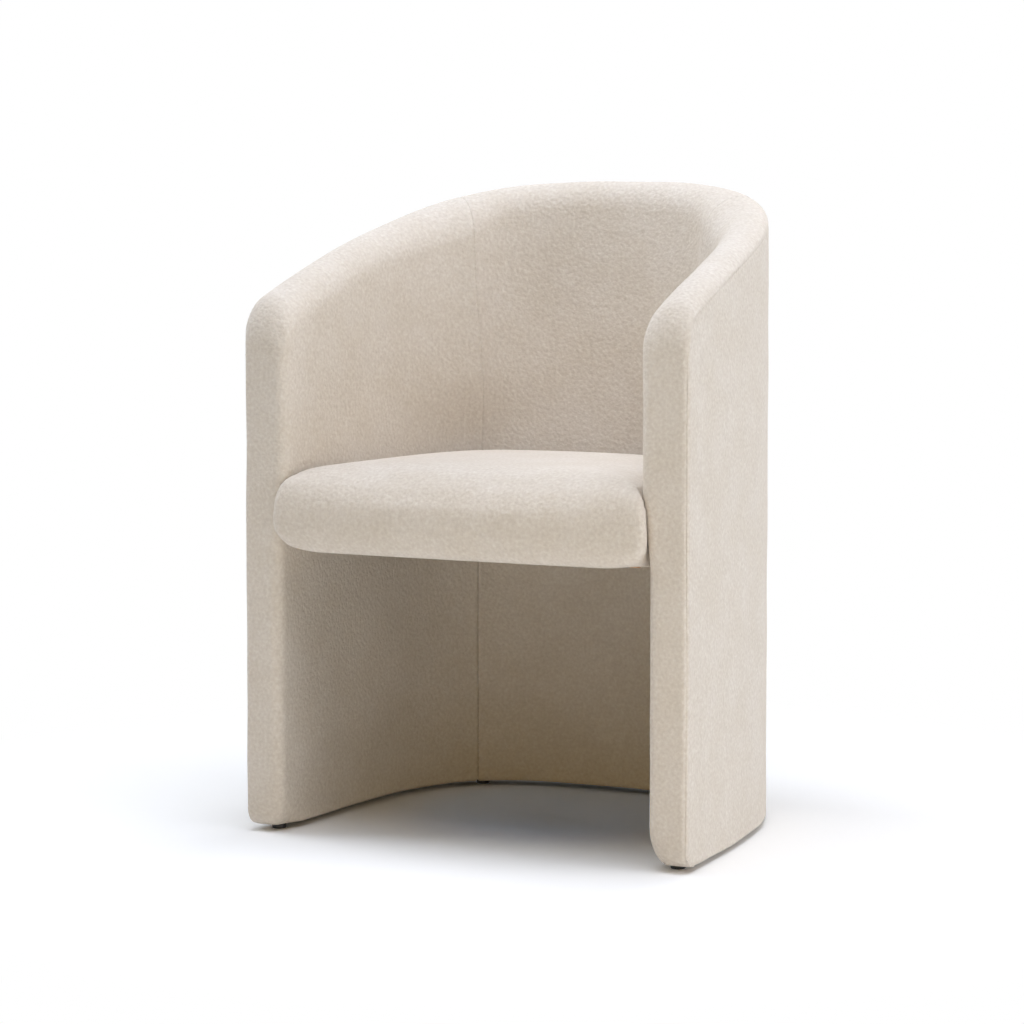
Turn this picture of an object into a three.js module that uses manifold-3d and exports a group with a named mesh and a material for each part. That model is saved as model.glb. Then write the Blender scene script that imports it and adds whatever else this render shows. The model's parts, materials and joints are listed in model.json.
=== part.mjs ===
// Upholstered tub chair in millimetres, +Z up, front towards -Y.
// One padded wall runs in a U from arm front to arm front, and a crowned seat unit is bolted between its sides.
// Places in the wall are given by s, the distance along the outer face from the middle of the back (left is
// negative), by d, the depth in from the outer face, by w, the distance back from an arm front, and by z.

import * as THREE from 'three';
import Module from 'manifold-3d';
import { mergeVertices } from 'three/addons/utils/BufferGeometryUtils.js';

const wasm = await Module();
wasm.setup();

// Plan of the outer face: each half is one cubic curve from the arm front to the middle of the back
const frontWidth = 604;
const shellDepth = 490;
const sideDraw = 13;
const sideReachShare = 0.715;
const backReachShare = 0.949;
const straightSide = 230;

// Heights of the shell
const baseGap = 6;
const armFrontHeight = 665;
const backHeight = 821;
const rimBowShare = 0.3;

// Rolled rim: the outer seam lies below the crest, and the inner roll is fuller than the outer one
const crestInset = 24;
const seamDrop = 19;
const rollDrop = 41;

// Wall thickness below the seat, and above it at the arms and at the back
const lowerWall = 52;
const seatWallFront = 62;
const seatWallBack = 74;
const rimWallFront = 62;
const rimWallBack = 50;

// Rounding of the arm fronts: back from the front face at the top, at the inner edge and at the bottom
const capReach = 30;
const capHeight = 45;
const frontRound = 15.5;
const baseRound = 25;
const edgeRound = 8;

// Inner lower edge: its rounding widens into a large soft corner towards the arm front
const cornerWidth = 30;
const cornerHeight = 50;
const cornerReach = 42;
const cornerLiftShare = 0.45;

// Layers of the wall, from the outside in
const clearance = 0.3;
const railEase = 0.5;
const cover = 2;
const board = 3;
const timber = 28;
const frontPadding = 12;
const coreDrop = 22;
const boardDrop = 6;
const hemWidth = 14;
const hemRamp = 8;

// Timber frame
const postWidth = 45;
const bottomRailHeight = 50;
const topRailHeight = 45;
const wallRailHeight = 70;
const cornerDistance = 202;
const seamDistance = 216;

// Seat unit
const seatBottom = 357;
const seatEdge = 452;
const seatCrown = 12;
const padGap = 2.2;
const noseReach = 19;
const noseTuck = 26;
const noseBow = 3;
const noseCorner = 13;
const tuckedCorner = 20;
const sideTuck = 10;
const seatPadding = 6;
const seatRailThickness = 22;
const seatRailHeight = 40;
const frontRailSetBack = 15;
const deckThickness = 9;
const dustCloth = 1;
const blockLeg = 40;

// Fasteners and glides
const boltRadius = 4;
const boltHeadRadius = 7;
const boltHeadHeight = 5;
const boltEmbed = 20;
const sideBoltSetBacks = [120, 300];
const backBoltOffset = 100;
const glideRadius = 9.3;
const glideChamfer = 1;
const glideSetBack = 39;
const screwRadius = 2;
const screwHeadRadius = 4;
const screwHeadHeight = 2.4;
const screwHeadRecess = 1.2;
const screwLength = 30;

// Counts of steps
const curveDivisions = 400;
const turnSteps = 12;
const sideSteps = 3;
const roundSides = 12;
const holeOverrun = 1;
const miterLimit = 0.5;
const weld = 0.001;

// Sizes that follow from the ones above
const halfFront = frontWidth / 2;
const coreOut = cover + clearance + board + clearance;
const timberIn = coreOut + timber;
const coreIn = timberIn + clearance + board;
const coreFront = frontPadding + clearance;
const coreBase = baseGap + cover + clearance;
const seatRailLow = seatBottom + cover + clearance;
const seatRailHigh = seatRailLow + seatRailHeight;
const deckLow = seatRailHigh + clearance;
const deckHigh = deckLow + deckThickness;
const boltHeight = (seatRailLow + seatRailHigh) / 2;
const quarter = Math.PI / 2;

const { lerp, clamp, smoothstep } = THREE.MathUtils;

// Plan of the wall: points and inward normals at fixed stations, joined by straight chords
const planCurve = new THREE.CubicBezierCurve(
  new THREE.Vector2(halfFront, 0),
  new THREE.Vector2(halfFront - sideDraw, sideReachShare * shellDepth),
  new THREE.Vector2(backReachShare * halfFront, shellDepth),
  new THREE.Vector2(0, shellDepth),
);
planCurve.arcLengthDivisions = curveDivisions;
const halfLength = planCurve.getLength();
const turnLength = halfLength - straightSide;

const stations = [];
for (let i = 0; i <= turnSteps; i++) stations.push((turnLength * i) / turnSteps);
for (let i = 1; i <= sideSteps; i++) stations.push(turnLength + (straightSide * i) / sideSteps);

const planFrames = stations.map((q) => {
  const share = clamp(1 - q / halfLength, 0, 1);
  const point = planCurve.getPointAt(share);
  const along = planCurve.getTangentAt(share);
  return { q, x: point.x, y: point.y, inX: -along.y, inY: along.x };
});

// Plan point at distance s and depth d, on the chord between the two nearest stations
function planPoint(s, d) {
  const q = Math.abs(s);
  const found = planFrames.findIndex((frame) => frame.q >= q);
  const next = found < 0 ? planFrames.length - 1 : Math.max(found, 1);
  const a = planFrames[next - 1];
  const b = planFrames[next];
  const share = (q - a.q) / (b.q - a.q);
  const x = lerp(a.x + d * a.inX, b.x + d * b.inX, share);
  const y = lerp(a.y + d * a.inY, b.y + d * b.inY, share);
  return new THREE.Vector2(s < 0 ? -x : x, y);
}

function wallPoint(s, d, z) {
  const plan = planPoint(s, d);
  return new THREE.Vector3(plan.x, plan.y, z);
}

// The stations from one distance to another, with both ends, and with the ones that shape an arm front
const frontShares = [0.5, 0.65, 0.82, 1];
function between(from, to) {
  const inner = [];
  for (const q of [...stations, cornerDistance]) inner.push(q, -q);
  for (const share of frontShares) {
    const q = halfLength - share * capReach;
    inner.push(q, -q);
  }
  const kept = inner.filter((s) => s > from + clearance && s < to - clearance);
  return [...new Set([from, ...kept, to])].sort((a, b) => a - b);
}

// How far along the wall's depth a place lies, eased, from 0 at the arm fronts to 1 at the back
function backShare(s) {
  return smoothstep(planPoint(s, 0).y / shellDepth, 0, 1);
}

// Height of the rim's crest: nearly a straight slope from the arms to the back, a little fuller in front
function rimHeight(s) {
  const v = clamp(planPoint(s, 0).y / shellDepth, 0, 1);
  const rise = backHeight - armFrontHeight;
  return armFrontHeight + rise * (v + rimBowShare * v * (1 - v) * (1 - v));
}

function rimWall(s) {
  return lerp(rimWallFront, rimWallBack, backShare(s));
}

// Thickness of the wall: even below the seat, fullest at the seat, thinner towards the rim at the back
function wallThickness(s, z) {
  const atSeat = lerp(seatWallFront, seatWallBack, backShare(s));
  const rollHeight = rimHeight(s) - rollDrop;
  if (z <= seatEdge) {
    return lerp(lowerWall, atSeat, clamp((z - seatBottom) / (seatEdge - seatBottom), 0, 1));
  }
  return lerp(atSeat, rimWall(s), clamp((z - seatEdge) / (rollHeight - seatEdge), 0, 1));
}

// Drop of an elliptical rounding at distance w behind the front
function roundDrop(w, reach, height) {
  if (w >= reach) return 0;
  const k = 1 - w / reach;
  return height * (1 - Math.sqrt(1 - k * k));
}

function frontNearness(w) {
  return clamp(1 - w / capReach, 0, 1);
}

// Width and height of the inner lower edge's rounding, set in by inset
function lowerCorner(w, inset) {
  const near = clamp(1 - w / cornerReach, 0, 1);
  return [lerp(edgeRound, cornerWidth, near) - inset, lerp(edgeRound, cornerHeight, near) - inset];
}

// Solids

// Joins a list of quads into one closed geometry: shared corners are merged, collapsed faces left out,
// and the faces turned outwards
function closedGeometry(corners) {
  const soup = new THREE.BufferGeometry();
  const values = corners.flatMap((point) => [point.x, point.y, point.z]);
  soup.setAttribute('position', new THREE.Float32BufferAttribute(values, 3));
  const merged = mergeVertices(soup, weld);
  const position = merged.attributes.position;
  const kept = [];
  for (let i = 0; i < merged.index.count; i += 3) {
    const face = [merged.index.getX(i), merged.index.getX(i + 1), merged.index.getX(i + 2)];
    if (new Set(face).size === 3) kept.push(face);
  }
  const corner = (index) => new THREE.Vector3().fromBufferAttribute(position, index);
  let volume = 0;
  for (const [a, b, c] of kept) volume += corner(a).dot(corner(b).cross(corner(c)));
  const faces = volume < 0 ? kept.map(([a, b, c]) => [a, c, b]) : kept;
  merged.setIndex(faces.flat());
  return merged;
}

// A solid between two matching grids of points, closed along its edges; a loop joins its last column
// to its first
function shell(outer, inner, loop = false) {
  const corners = [];
  const quad = (a, b, c, d) => corners.push(a, b, c, a, c, d);
  const columns = outer.length;
  const rows = outer[0].length;
  const steps = loop ? columns : columns - 1;
  for (let i = 0; i < steps; i++) {
    const n = (i + 1) % columns;
    for (let j = 0; j + 1 < rows; j++) {
      quad(outer[i][j], outer[n][j], outer[n][j + 1], outer[i][j + 1]);
      quad(inner[i][j], inner[i][j + 1], inner[n][j + 1], inner[n][j]);
    }
    const last = rows - 1;
    quad(outer[n][0], outer[i][0], inner[i][0], inner[n][0]);
    quad(outer[i][last], outer[n][last], inner[n][last], inner[i][last]);
  }
  if (!loop) {
    const end = columns - 1;
    for (let j = 0; j + 1 < rows; j++) {
      quad(outer[0][j], outer[0][j + 1], inner[0][j + 1], inner[0][j]);
      quad(outer[end][j + 1], outer[end][j], inner[end][j], inner[end][j + 1]);
    }
  }
  return closedGeometry(corners);
}

// A piece of timber, board or cloth that follows the wall from one distance to another
function strip(from, to, depthOut, depthIn, low, high) {
  const at = (value, s) => (typeof value === 'function' ? value(s) : value);
  const columns = between(from, to);
  const face = (depth) => columns.map((s) => [low, high].map((z) => wallPoint(s, at(depth, s), at(z, s))));
  return shell(face(depthOut), face(depthIn));
}

// A flat plate with a given outline in plan
function plate(outline, low, high) {
  const shape = new THREE.Shape(outline);
  const geometry = new THREE.ExtrudeGeometry(shape, { depth: high - low, bevelEnabled: false });
  return geometry.translate(0, 0, low);
}

// A turned solid along its own Z axis, from radius and height pairs
function turned(profile) {
  const points = profile.map(([radius, height]) => new THREE.Vector2(radius, height));
  return new THREE.LatheGeometry(points, roundSides).rotateX(quarter);
}

function solidOf(geometry) {
  const bare = geometry.clone();
  bare.deleteAttribute('normal');
  bare.deleteAttribute('uv');
  const merged = mergeVertices(bare, weld);
  const vertProperties = new Float32Array(merged.attributes.position.array);
  const triVerts = new Uint32Array(merged.index.array);
  return new wasm.Manifold(new wasm.Mesh({ numProp: 3, vertProperties, triVerts }));
}

function geometryOf(solid) {
  const mesh = solid.getMesh();
  const geometry = new THREE.BufferGeometry();
  geometry.setAttribute('position', new THREE.BufferAttribute(new Float32Array(mesh.vertProperties), 3));
  geometry.setIndex([...mesh.triVerts]);
  return geometry;
}

function drilled(geometry, holes) {
  let solid = solidOf(geometry);
  for (const hole of holes) solid = solid.subtract(solidOf(hole));
  return geometryOf(solid);
}

// Materials

function finish(color, roughness, metalness = 0) {
  return new THREE.MeshStandardMaterial({ color, roughness, metalness });
}

const creamFabric = finish(0xddd4c9, 0.95);
const foam = finish(0xe9d9a4, 0.9);
const beech = finish(0xc79a63, 0.7);
const plywood = finish(0xd2b07c, 0.75);
const hardboard = finish(0x8a6a48, 0.8);
const blackCloth = finish(0x1c1c1e, 0.95);
const blackPlastic = finish(0x141415, 0.5);
const zincSteel = finish(0xb9bcc0, 0.35, 0.9);

const chair = new THREE.Group();

function add(name, geometry, material) {
  const mesh = new THREE.Mesh(geometry, material);
  mesh.name = name;
  chair.add(mesh);
}

const sides = [
  { name: 'left', sign: -1 },
  { name: 'right', sign: 1 },
];

// A range of distances on one side, given by how far its ends lie from the middle of the back
function sideRange(sign, near, far) {
  return sign < 0 ? [-far, -near] : [near, far];
}

// Bolts and screws: places, bodies and holes

// Outer face of the seat frame's rails, clear of the pad's side
function seatRailOut(s) {
  return wallThickness(s, seatRailHigh) + padGap + cover + clearance + seatPadding + clearance;
}

const boltPlaces = [];
for (const { name, sign } of sides) {
  sideBoltSetBacks.forEach((setBack, i) => {
    boltPlaces.push({ name: `${name}_seat_bolt_${i + 1}`, s: sign * (halfLength - setBack), group: name });
  });
  boltPlaces.push({ name: `back_seat_bolt_${name}`, s: sign * backBoltOffset, group: 'back' });
}

// Lays a turned solid, modelled along Z, on a bolt's axis with its origin at depth d
function alongBolt(geometry, s, d) {
  const start = wallPoint(s, d, boltHeight);
  const inward = wallPoint(s, d + timber, boltHeight).sub(start).normalize();
  const turn = new THREE.Quaternion().setFromUnitVectors(new THREE.Vector3(0, 0, 1), inward);
  return geometry.applyQuaternion(turn).translate(start.x, start.y, start.z);
}

const boltTip = timberIn - boltEmbed;

function boltBody(s) {
  const bearing = seatRailOut(s) + seatRailThickness + clearance - boltTip;
  const top = bearing + boltHeadHeight;
  const profile = [[0, 0], [boltRadius, 0], [boltRadius, bearing], [boltHeadRadius, bearing]];
  profile.push([boltHeadRadius, top], [0, top]);
  return alongBolt(turned(profile), s, boltTip);
}

function boltHole(s) {
  const length = seatRailOut(s) + seatRailThickness + holeOverrun - boltTip + clearance;
  const radius = boltRadius + clearance;
  return alongBolt(turned([[0, 0], [radius, 0], [radius, length], [0, length]]), s, boltTip - clearance);
}

function boltHoles(group) {
  return boltPlaces.filter((bolt) => bolt.group === group).map((bolt) => boltHole(bolt.s));
}

const glidePlaces = [];
for (const { name, sign } of sides) {
  glidePlaces.push({ name: `front_${name}`, s: sign * (halfLength - glideSetBack) });
  glidePlaces.push({ name: `back_${name}`, s: sign * cornerDistance });
}

function glideHole(place) {
  const centre = planPoint(place.s, lowerWall / 2);
  const radius = screwRadius + clearance;
  const top = screwHeadRecess + screwLength + clearance;
  return turned([[0, 0], [radius, 0], [radius, top], [0, top]]).translate(centre.x, centre.y, 0);
}

// Timber frame of the shell

// Where the foam lies over the frame
function coreTop(s) {
  return rimHeight(s) - coreDrop - roundDrop(halfLength - Math.abs(s), capReach, capHeight);
}

function coreBottom(s) {
  const w = halfLength - Math.abs(s);
  const [width, height] = lowerCorner(w, cover);
  const overhang = Math.max(0, 1 - (lowerWall - cover - coreIn - clearance) / width);
  const lift = cornerLiftShare * height * overhang;
  return coreBase + roundDrop(w - cover - clearance, baseRound, baseRound) + lift;
}

const railTop = (s) => coreTop(s) - railEase;
const topRailLow = (s) => coreTop(s) - topRailHeight;
const postTop = (s) => topRailLow(s) - railEase;
const wallRailLow = boltHeight - wallRailHeight / 2;
const wallRailHigh = boltHeight + wallRailHeight / 2;
const frontPostFar = halfLength - coreFront;
const frontPostNear = frontPostFar - postWidth;
const backPostNear = cornerDistance - postWidth / 2;
const backPostFar = cornerDistance + postWidth / 2;

for (const { name, sign } of sides) {
  const post = (near, far) => strip(...sideRange(sign, near, far), coreOut, timberIn, coreBottom, postTop);
  const glide = (which) => glideHole(glidePlaces.find((place) => place.name === `${which}_${name}`));
  add(`front_post_${name}`, drilled(post(frontPostNear, frontPostFar), [glide('front')]), beech);
  add(`back_post_${name}`, drilled(post(backPostNear, backPostFar), [glide('back')]), beech);
  const span = sideRange(sign, backPostFar + clearance, frontPostNear - clearance);
  const bottomRail = strip(...span, coreOut, timberIn, coreBase, coreBase + bottomRailHeight);
  add(`bottom_rail_${name}`, bottomRail, beech);
  const wallRail = strip(...span, coreOut, timberIn, wallRailLow, wallRailHigh);
  add(`seat_height_rail_${name}`, drilled(wallRail, boltHoles(name)), beech);
  const railSpan = sideRange(sign, cornerDistance + clearance / 2, frontPostFar);
  add(`top_rail_${name}`, strip(...railSpan, coreOut, timberIn, topRailLow, railTop), beech);
}
const backSpan = [clearance - backPostNear, backPostNear - clearance];
add('bottom_rail_back', strip(...backSpan, coreOut, timberIn, coreBase, coreBase + bottomRailHeight), beech);
const backWallRail = strip(...backSpan, coreOut, timberIn, wallRailLow, wallRailHigh);
add('seat_height_rail_back', drilled(backWallRail, boltHoles('back')), beech);
const backTopSpan = [clearance / 2 - cornerDistance, cornerDistance - clearance / 2];
add('top_rail_back', strip(...backTopSpan, coreOut, timberIn, topRailLow, railTop), beech);

// Boards on the outside and the inside of the frame, joined on the back posts
const outerBoardTop = (s) => coreTop(s) - boardDrop;
const boardSpans = [{ name: 'back', span: backTopSpan }];
for (const { name, sign } of sides) {
  boardSpans.push({ name, span: sideRange(sign, cornerDistance + clearance / 2, frontPostFar) });
}
for (const { name, span } of boardSpans) {
  const outerFace = cover + clearance;
  const outerBoard = strip(...span, outerFace, outerFace + board, coreBottom, outerBoardTop);
  add(`outer_board_${name}`, outerBoard, hardboard);
  const innerBoard = strip(...span, timberIn + clearance, coreIn, coreBottom, railTop);
  add(`inner_board_${name}`, drilled(innerBoard, boltHoles(name)), hardboard);
}

// Rows of the rolled section. Each row is a function of the place and of how far it is set in from the
// cover's outer surface, and gives a depth and a height.

function cap(w, inset) {
  return {
    top: roundDrop(w, capReach, capHeight),
    inner: roundDrop(w, frontRound, frontRound) * (1 - inset / frontRound),
    bottom: roundDrop(w, baseRound, baseRound),
  };
}

const outerRoll = (angle) => (s, w, inset) => {
  const drop = cap(w, inset).top * (1 - (inset / capHeight) * Math.sin(angle));
  const d = crestInset - (crestInset - inset) * Math.cos(angle);
  return [d, rimHeight(s) - seamDrop + (seamDrop - inset) * Math.sin(angle) - drop];
};

const innerRoll = (angle) => (s, w, inset) => {
  const { top, inner } = cap(w, inset);
  const reach = rimWall(s) - inset - inner - crestInset;
  const z = rimHeight(s) - rollDrop + (rollDrop - inset) * Math.cos(angle) - top * (1 - inset / capHeight);
  return [crestInset + reach * Math.sin(angle), z];
};

const innerSide = (share) => (s, w, inset) => {
  const { top, inner } = cap(w, inset);
  const z = lerp(rimHeight(s) - rollDrop - top * (1 - inset / capHeight), seatEdge, share);
  return [wallThickness(s, z) - inset - inner, z];
};

const innerLevel = (z) => (s, w, inset) => [wallThickness(s, z) - inset - cap(w, inset).inner, z];

const baseEdge = (angle) => (s, w, inset) => {
  const { inner, bottom } = cap(w, inset);
  const [width, height] = lowerCorner(w, inset);
  const low = baseGap + inset + bottom * (1 - inset / baseRound);
  const d = lowerWall - inset - inner - width * (1 - Math.cos(angle));
  return [d, low + height * (1 - Math.sin(angle))];
};

const hem = (s, w, inset) => {
  const share = clamp((w - baseRound) / hemRamp, 0, 1);
  const z = baseGap + cap(w, inset).bottom + inset * (1 - frontNearness(w));
  return [lerp(inset, lowerWall - hemWidth, share), z];
};

const coverRows = [0, 0.35, 0.7, 1].map((share) => outerRoll(share * quarter));
coverRows.push(...[0.25, 0.5, 0.75, 1].map((share) => innerRoll(share * quarter)));
coverRows.push(innerSide(1), innerLevel(seatBottom));
coverRows.push(baseEdge(0), baseEdge(0.5 * quarter), baseEdge(quarter), hem);

const foamRows = [outerRoll(0), outerRoll(0.35 * quarter), outerRoll(quarter), innerRoll(0.5 * quarter)];
foamRows.push(innerRoll(quarter), innerSide(1), innerLevel(seatBottom));
foamRows.push(baseEdge(0), baseEdge(0.5 * quarter));

// Where each foam row meets the frame, as a share of the way across the top, or null down the inner side
const foamSeatShares = [0, 0.3, 0.6, 0.85, 1, null, null, null, null];

function coverPoint(sign, w, row, inset) {
  const s = sign * (halfLength - w - inset * frontNearness(w));
  const [d, z] = row(s, w, inset);
  return wallPoint(s, d, z);
}

// Stations of a side panel, as distances back from the arm front, down to the corner seam
const roundShares = [0, 0.04, 0.13, 0.3];
const panelSetBacks = roundShares.map((share) => share * capReach);
panelSetBacks.push(frontRound, baseRound, capReach, baseRound + hemRamp);
const seamSetBack = halfLength - seamDistance - clearance / 2;
for (const q of [...stations].reverse()) {
  const w = halfLength - q;
  if (w > baseRound + hemRamp + clearance && w < seamSetBack - clearance) panelSetBacks.push(w);
}
panelSetBacks.push(seamSetBack);

// The arm's front face: rows of the section drawn across to the outer edge in a few steps
const faceShares = [0.4, 0.75, 1];

function faceTargets(sign, rows) {
  const contour = rows.map((row) => coverPoint(sign, 0, row, 0));
  const lengths = [0];
  for (let j = 1; j < contour.length; j++) {
    lengths.push(lengths[j - 1] + contour[j].distanceTo(contour[j - 1]));
  }
  const high = contour[0].z;
  const low = baseGap + baseRound;
  return lengths.map((length) => lerp(high, low, length / lengths[lengths.length - 1]));
}

// Grid of one surface of a side panel: across the front face first, then back along the wall
function panelGrid(sign, rows, pointAt, edgeAt) {
  const targets = faceTargets(sign, rows);
  const grid = [];
  for (const share of [...faceShares].reverse()) {
    grid.push(rows.map((row, j) => pointAt(0, row, j).lerp(edgeAt(targets[j]), share)));
  }
  for (const w of panelSetBacks) grid.push(rows.map((row, j) => pointAt(w, row, j)));
  return grid;
}

function coverGrid(sign, rows, inset) {
  const pointAt = (w, row) => coverPoint(sign, w, row, inset);
  const edgeAt = (z) => wallPoint(sign * (halfLength - inset), inset, z);
  return panelGrid(sign, rows, pointAt, edgeAt);
}

// Point where the foam meets the frame: over the top rail, then down the inner board
function foamSeat(sign, w, row, j) {
  const s = sign * (halfLength - w - frontPadding * frontNearness(w));
  const share = foamSeatShares[j];
  const inside = coreIn + clearance * (1 + 2 * frontNearness(w));
  if (share === null) return wallPoint(s, inside, row(s, w, cover + clearance)[1]);
  return wallPoint(s, lerp(coreOut - clearance, inside, share), coreTop(s) + clearance);
}

function foamSeatGrid(sign) {
  const pointAt = (w, row, j) => foamSeat(sign, w, row, j);
  const edgeAt = (z) => wallPoint(sign * (halfLength - frontPadding), coreOut - clearance, z);
  return panelGrid(sign, foamRows, pointAt, edgeAt);
}

for (const { name, sign } of sides) {
  const panel = shell(coverGrid(sign, coverRows, 0), coverGrid(sign, coverRows, cover));
  add(`inner_cover_${name}`, drilled(panel, boltHoles(name)), creamFabric);
  const padding = shell(coverGrid(sign, foamRows, cover + clearance), foamSeatGrid(sign));
  add(`wall_foam_${name}`, drilled(padding, boltHoles(name)), foam);
}

// Back panel and back foam, from seam to seam
const backColumns = between(clearance / 2 - seamDistance, seamDistance - clearance / 2);

function backGrid(rows, pointAt) {
  return backColumns.map((s) => rows.map((row, j) => pointAt(s, row, j)));
}

function backSurface(rows, inset) {
  return backGrid(rows, (s, row) => wallPoint(s, ...row(s, halfLength - Math.abs(s), inset)));
}

const backPanel = shell(backSurface(coverRows, 0), backSurface(coverRows, cover));
add('inner_cover_back', drilled(backPanel, boltHoles('back')), creamFabric);
const backFoamSeat = backGrid(foamRows, (s, row, j) => {
  return foamSeat(s < 0 ? -1 : 1, halfLength - Math.abs(s), row, j);
});
const backFoam = shell(backSurface(foamRows, cover + clearance), backFoamSeat);
add('wall_foam_back', drilled(backFoam, boltHoles('back')), foam);

// Outer cover: one panel from arm front to arm front, with its hem turned under the wall
function outerCoverColumn(sign, w, inset) {
  const nearness = frontNearness(w);
  const s = sign * (halfLength - w - (inset + clearance) * nearness);
  const turnedUnder = clamp((w - baseRound - hemRamp) / hemRamp, 0, 1);
  const { top, bottom } = cap(w, inset);
  const high = rimHeight(s) - seamDrop - top - clearance;
  const low = baseGap + bottom + clearance * (1 - turnedUnder) + inset * (1 - nearness);
  return [
    wallPoint(s, lerp(inset, hemWidth, turnedUnder), low),
    wallPoint(s, inset, low),
    wallPoint(s, inset, (low + high) / 2),
    wallPoint(s, inset, high),
  ];
}

const outerSetBacks = [...roundShares.map((share) => share * capReach), frontRound, baseRound, capReach];
outerSetBacks.push(baseRound + hemRamp, baseRound + 2 * hemRamp);
for (const q of [...stations].reverse()) {
  const w = halfLength - q;
  if (w > baseRound + 2 * hemRamp + clearance) outerSetBacks.push(w);
}

function outerCoverGrid(inset) {
  const right = outerSetBacks.map((w) => outerCoverColumn(1, w, inset));
  const left = outerSetBacks.slice(0, -1).map((w) => outerCoverColumn(-1, w, inset));
  return [...right, ...left.reverse()];
}

add('outer_cover', shell(outerCoverGrid(0), outerCoverGrid(cover)), creamFabric);

// Black cloth under the wall, between the two hems, behind the front glides
const clothEnd = halfLength - glideSetBack - glideRadius;
const clothDepths = [hemWidth + clearance, lowerWall - hemWidth - clearance];
const baseCloth = strip(-clothEnd, clothEnd, ...clothDepths, baseGap, baseGap + cover);
const backGlides = glidePlaces.filter((place) => place.name.startsWith('back'));
add('base_cloth', drilled(baseCloth, backGlides.map(glideHole)), blackCloth);

// Glides and their screws
for (const place of glidePlaces) {
  const centre = planPoint(place.s, lowerWall / 2);
  const top = baseGap - clearance;
  const bore = screwRadius + clearance;
  const sink = screwHeadRadius + clearance;
  const sinkTop = screwHeadRecess + screwHeadHeight;
  const disc = [[bore, top], [bore, sinkTop + clearance], [sink, screwHeadRecess + clearance], [sink, 0]];
  disc.push([glideRadius - glideChamfer, 0], [glideRadius, glideChamfer], [glideRadius, top], [bore, top]);
  add(`glide_${place.name}`, turned(disc).translate(centre.x, centre.y, 0), blackPlastic);
  const screw = [[0, screwHeadRecess], [screwHeadRadius, screwHeadRecess], [screwRadius, sinkTop]];
  screw.push([screwRadius, screwHeadRecess + screwLength], [0, screwHeadRecess + screwLength]);
  add(`glide_screw_${place.name}`, turned(screw).translate(centre.x, centre.y, 0), zincSteel);
}

// Seat pad. Its outline follows the wall, wraps the arms' rounded inner edges and bows out in front.

const padFar = halfLength - frontRound;
const padColumns = between(-padFar, padFar).filter((s) => stations.includes(Math.abs(s)));
const wrapShares = [0, 0.28, 0.54, 0.78, 1];
const cornerShares = [0.35, 0.7, 1];
const frontShareSteps = [-0.6, -0.2, 0.2, 0.6];

// The corner wrapped round the arm's edge, from the wall forwards, as depth and set-back pairs
function openCorner(thickness) {
  const centre = thickness - frontRound;
  const radius = frontRound + padGap;
  const wrap = wrapShares.map((share) => {
    return [centre + radius * Math.cos(share * quarter), frontRound - radius * Math.sin(share * quarter)];
  });
  const start = wrap[wrap.length - 1][1];
  const corner = cornerShares.map((share) => {
    const angle = share * quarter;
    const back = (noseReach - noseBow + start) * Math.sin(angle);
    return [centre + noseCorner * (1 - Math.cos(angle)), start - back];
  });
  return [...wrap, ...corner];
}

// The same corner fully tucked in between the arms
const tuckedShares = [0, 0.15, 0.3, 0.45, 0.6, 0.74, 0.88, 1];
function tuckedCornerPairs(thickness) {
  const side = thickness + padGap + sideTuck;
  const front = noseTuck - noseReach + noseBow;
  return tuckedShares.map((share) => {
    const angle = share * quarter;
    const d = side + tuckedCorner * (1 - Math.cos(angle));
    return [d, front + tuckedCorner * (1 - Math.sin(angle))];
  });
}

// Outline of the pad at one height; tuck draws the nose back and squeeze draws the sides in
function padOutline(z, tuck, squeeze) {
  const side = padColumns.map((s) => planPoint(s, wallThickness(s, z) + padGap + squeeze * sideTuck));
  const thickness = wallThickness(padFar, z);
  const open = openCorner(thickness);
  const closed = tuckedCornerPairs(thickness);
  const corner = (sign) => open.map(([d, w], i) => {
    const plan = planPoint(sign * (halfLength - w), d);
    return plan.lerp(planPoint(sign * (halfLength - closed[i][1]), closed[i][0]), tuck);
  });
  const right = corner(1);
  const left = corner(-1);
  const end = right[right.length - 1];
  const front = frontShareSteps.map((share) => {
    return new THREE.Vector2(-share * end.x, end.y - noseBow * (1 - share * share));
  });
  return [...side, ...right, ...front, ...left.reverse()];
}

// The same loop set in by an even distance, each point along the mean of its two edges' normals
function insetLoop(loop, distance) {
  return loop.map((point, i) => {
    const before = loop[(i + loop.length - 1) % loop.length];
    const after = loop[(i + 1) % loop.length];
    const one = point.clone().sub(before).normalize();
    const two = after.clone().sub(point).normalize();
    const along = one.clone().add(two).normalize();
    const reach = distance / Math.max(along.dot(one), miterLimit);
    return new THREE.Vector2(point.x + along.y * reach, point.y - along.x * reach);
  });
}

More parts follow.
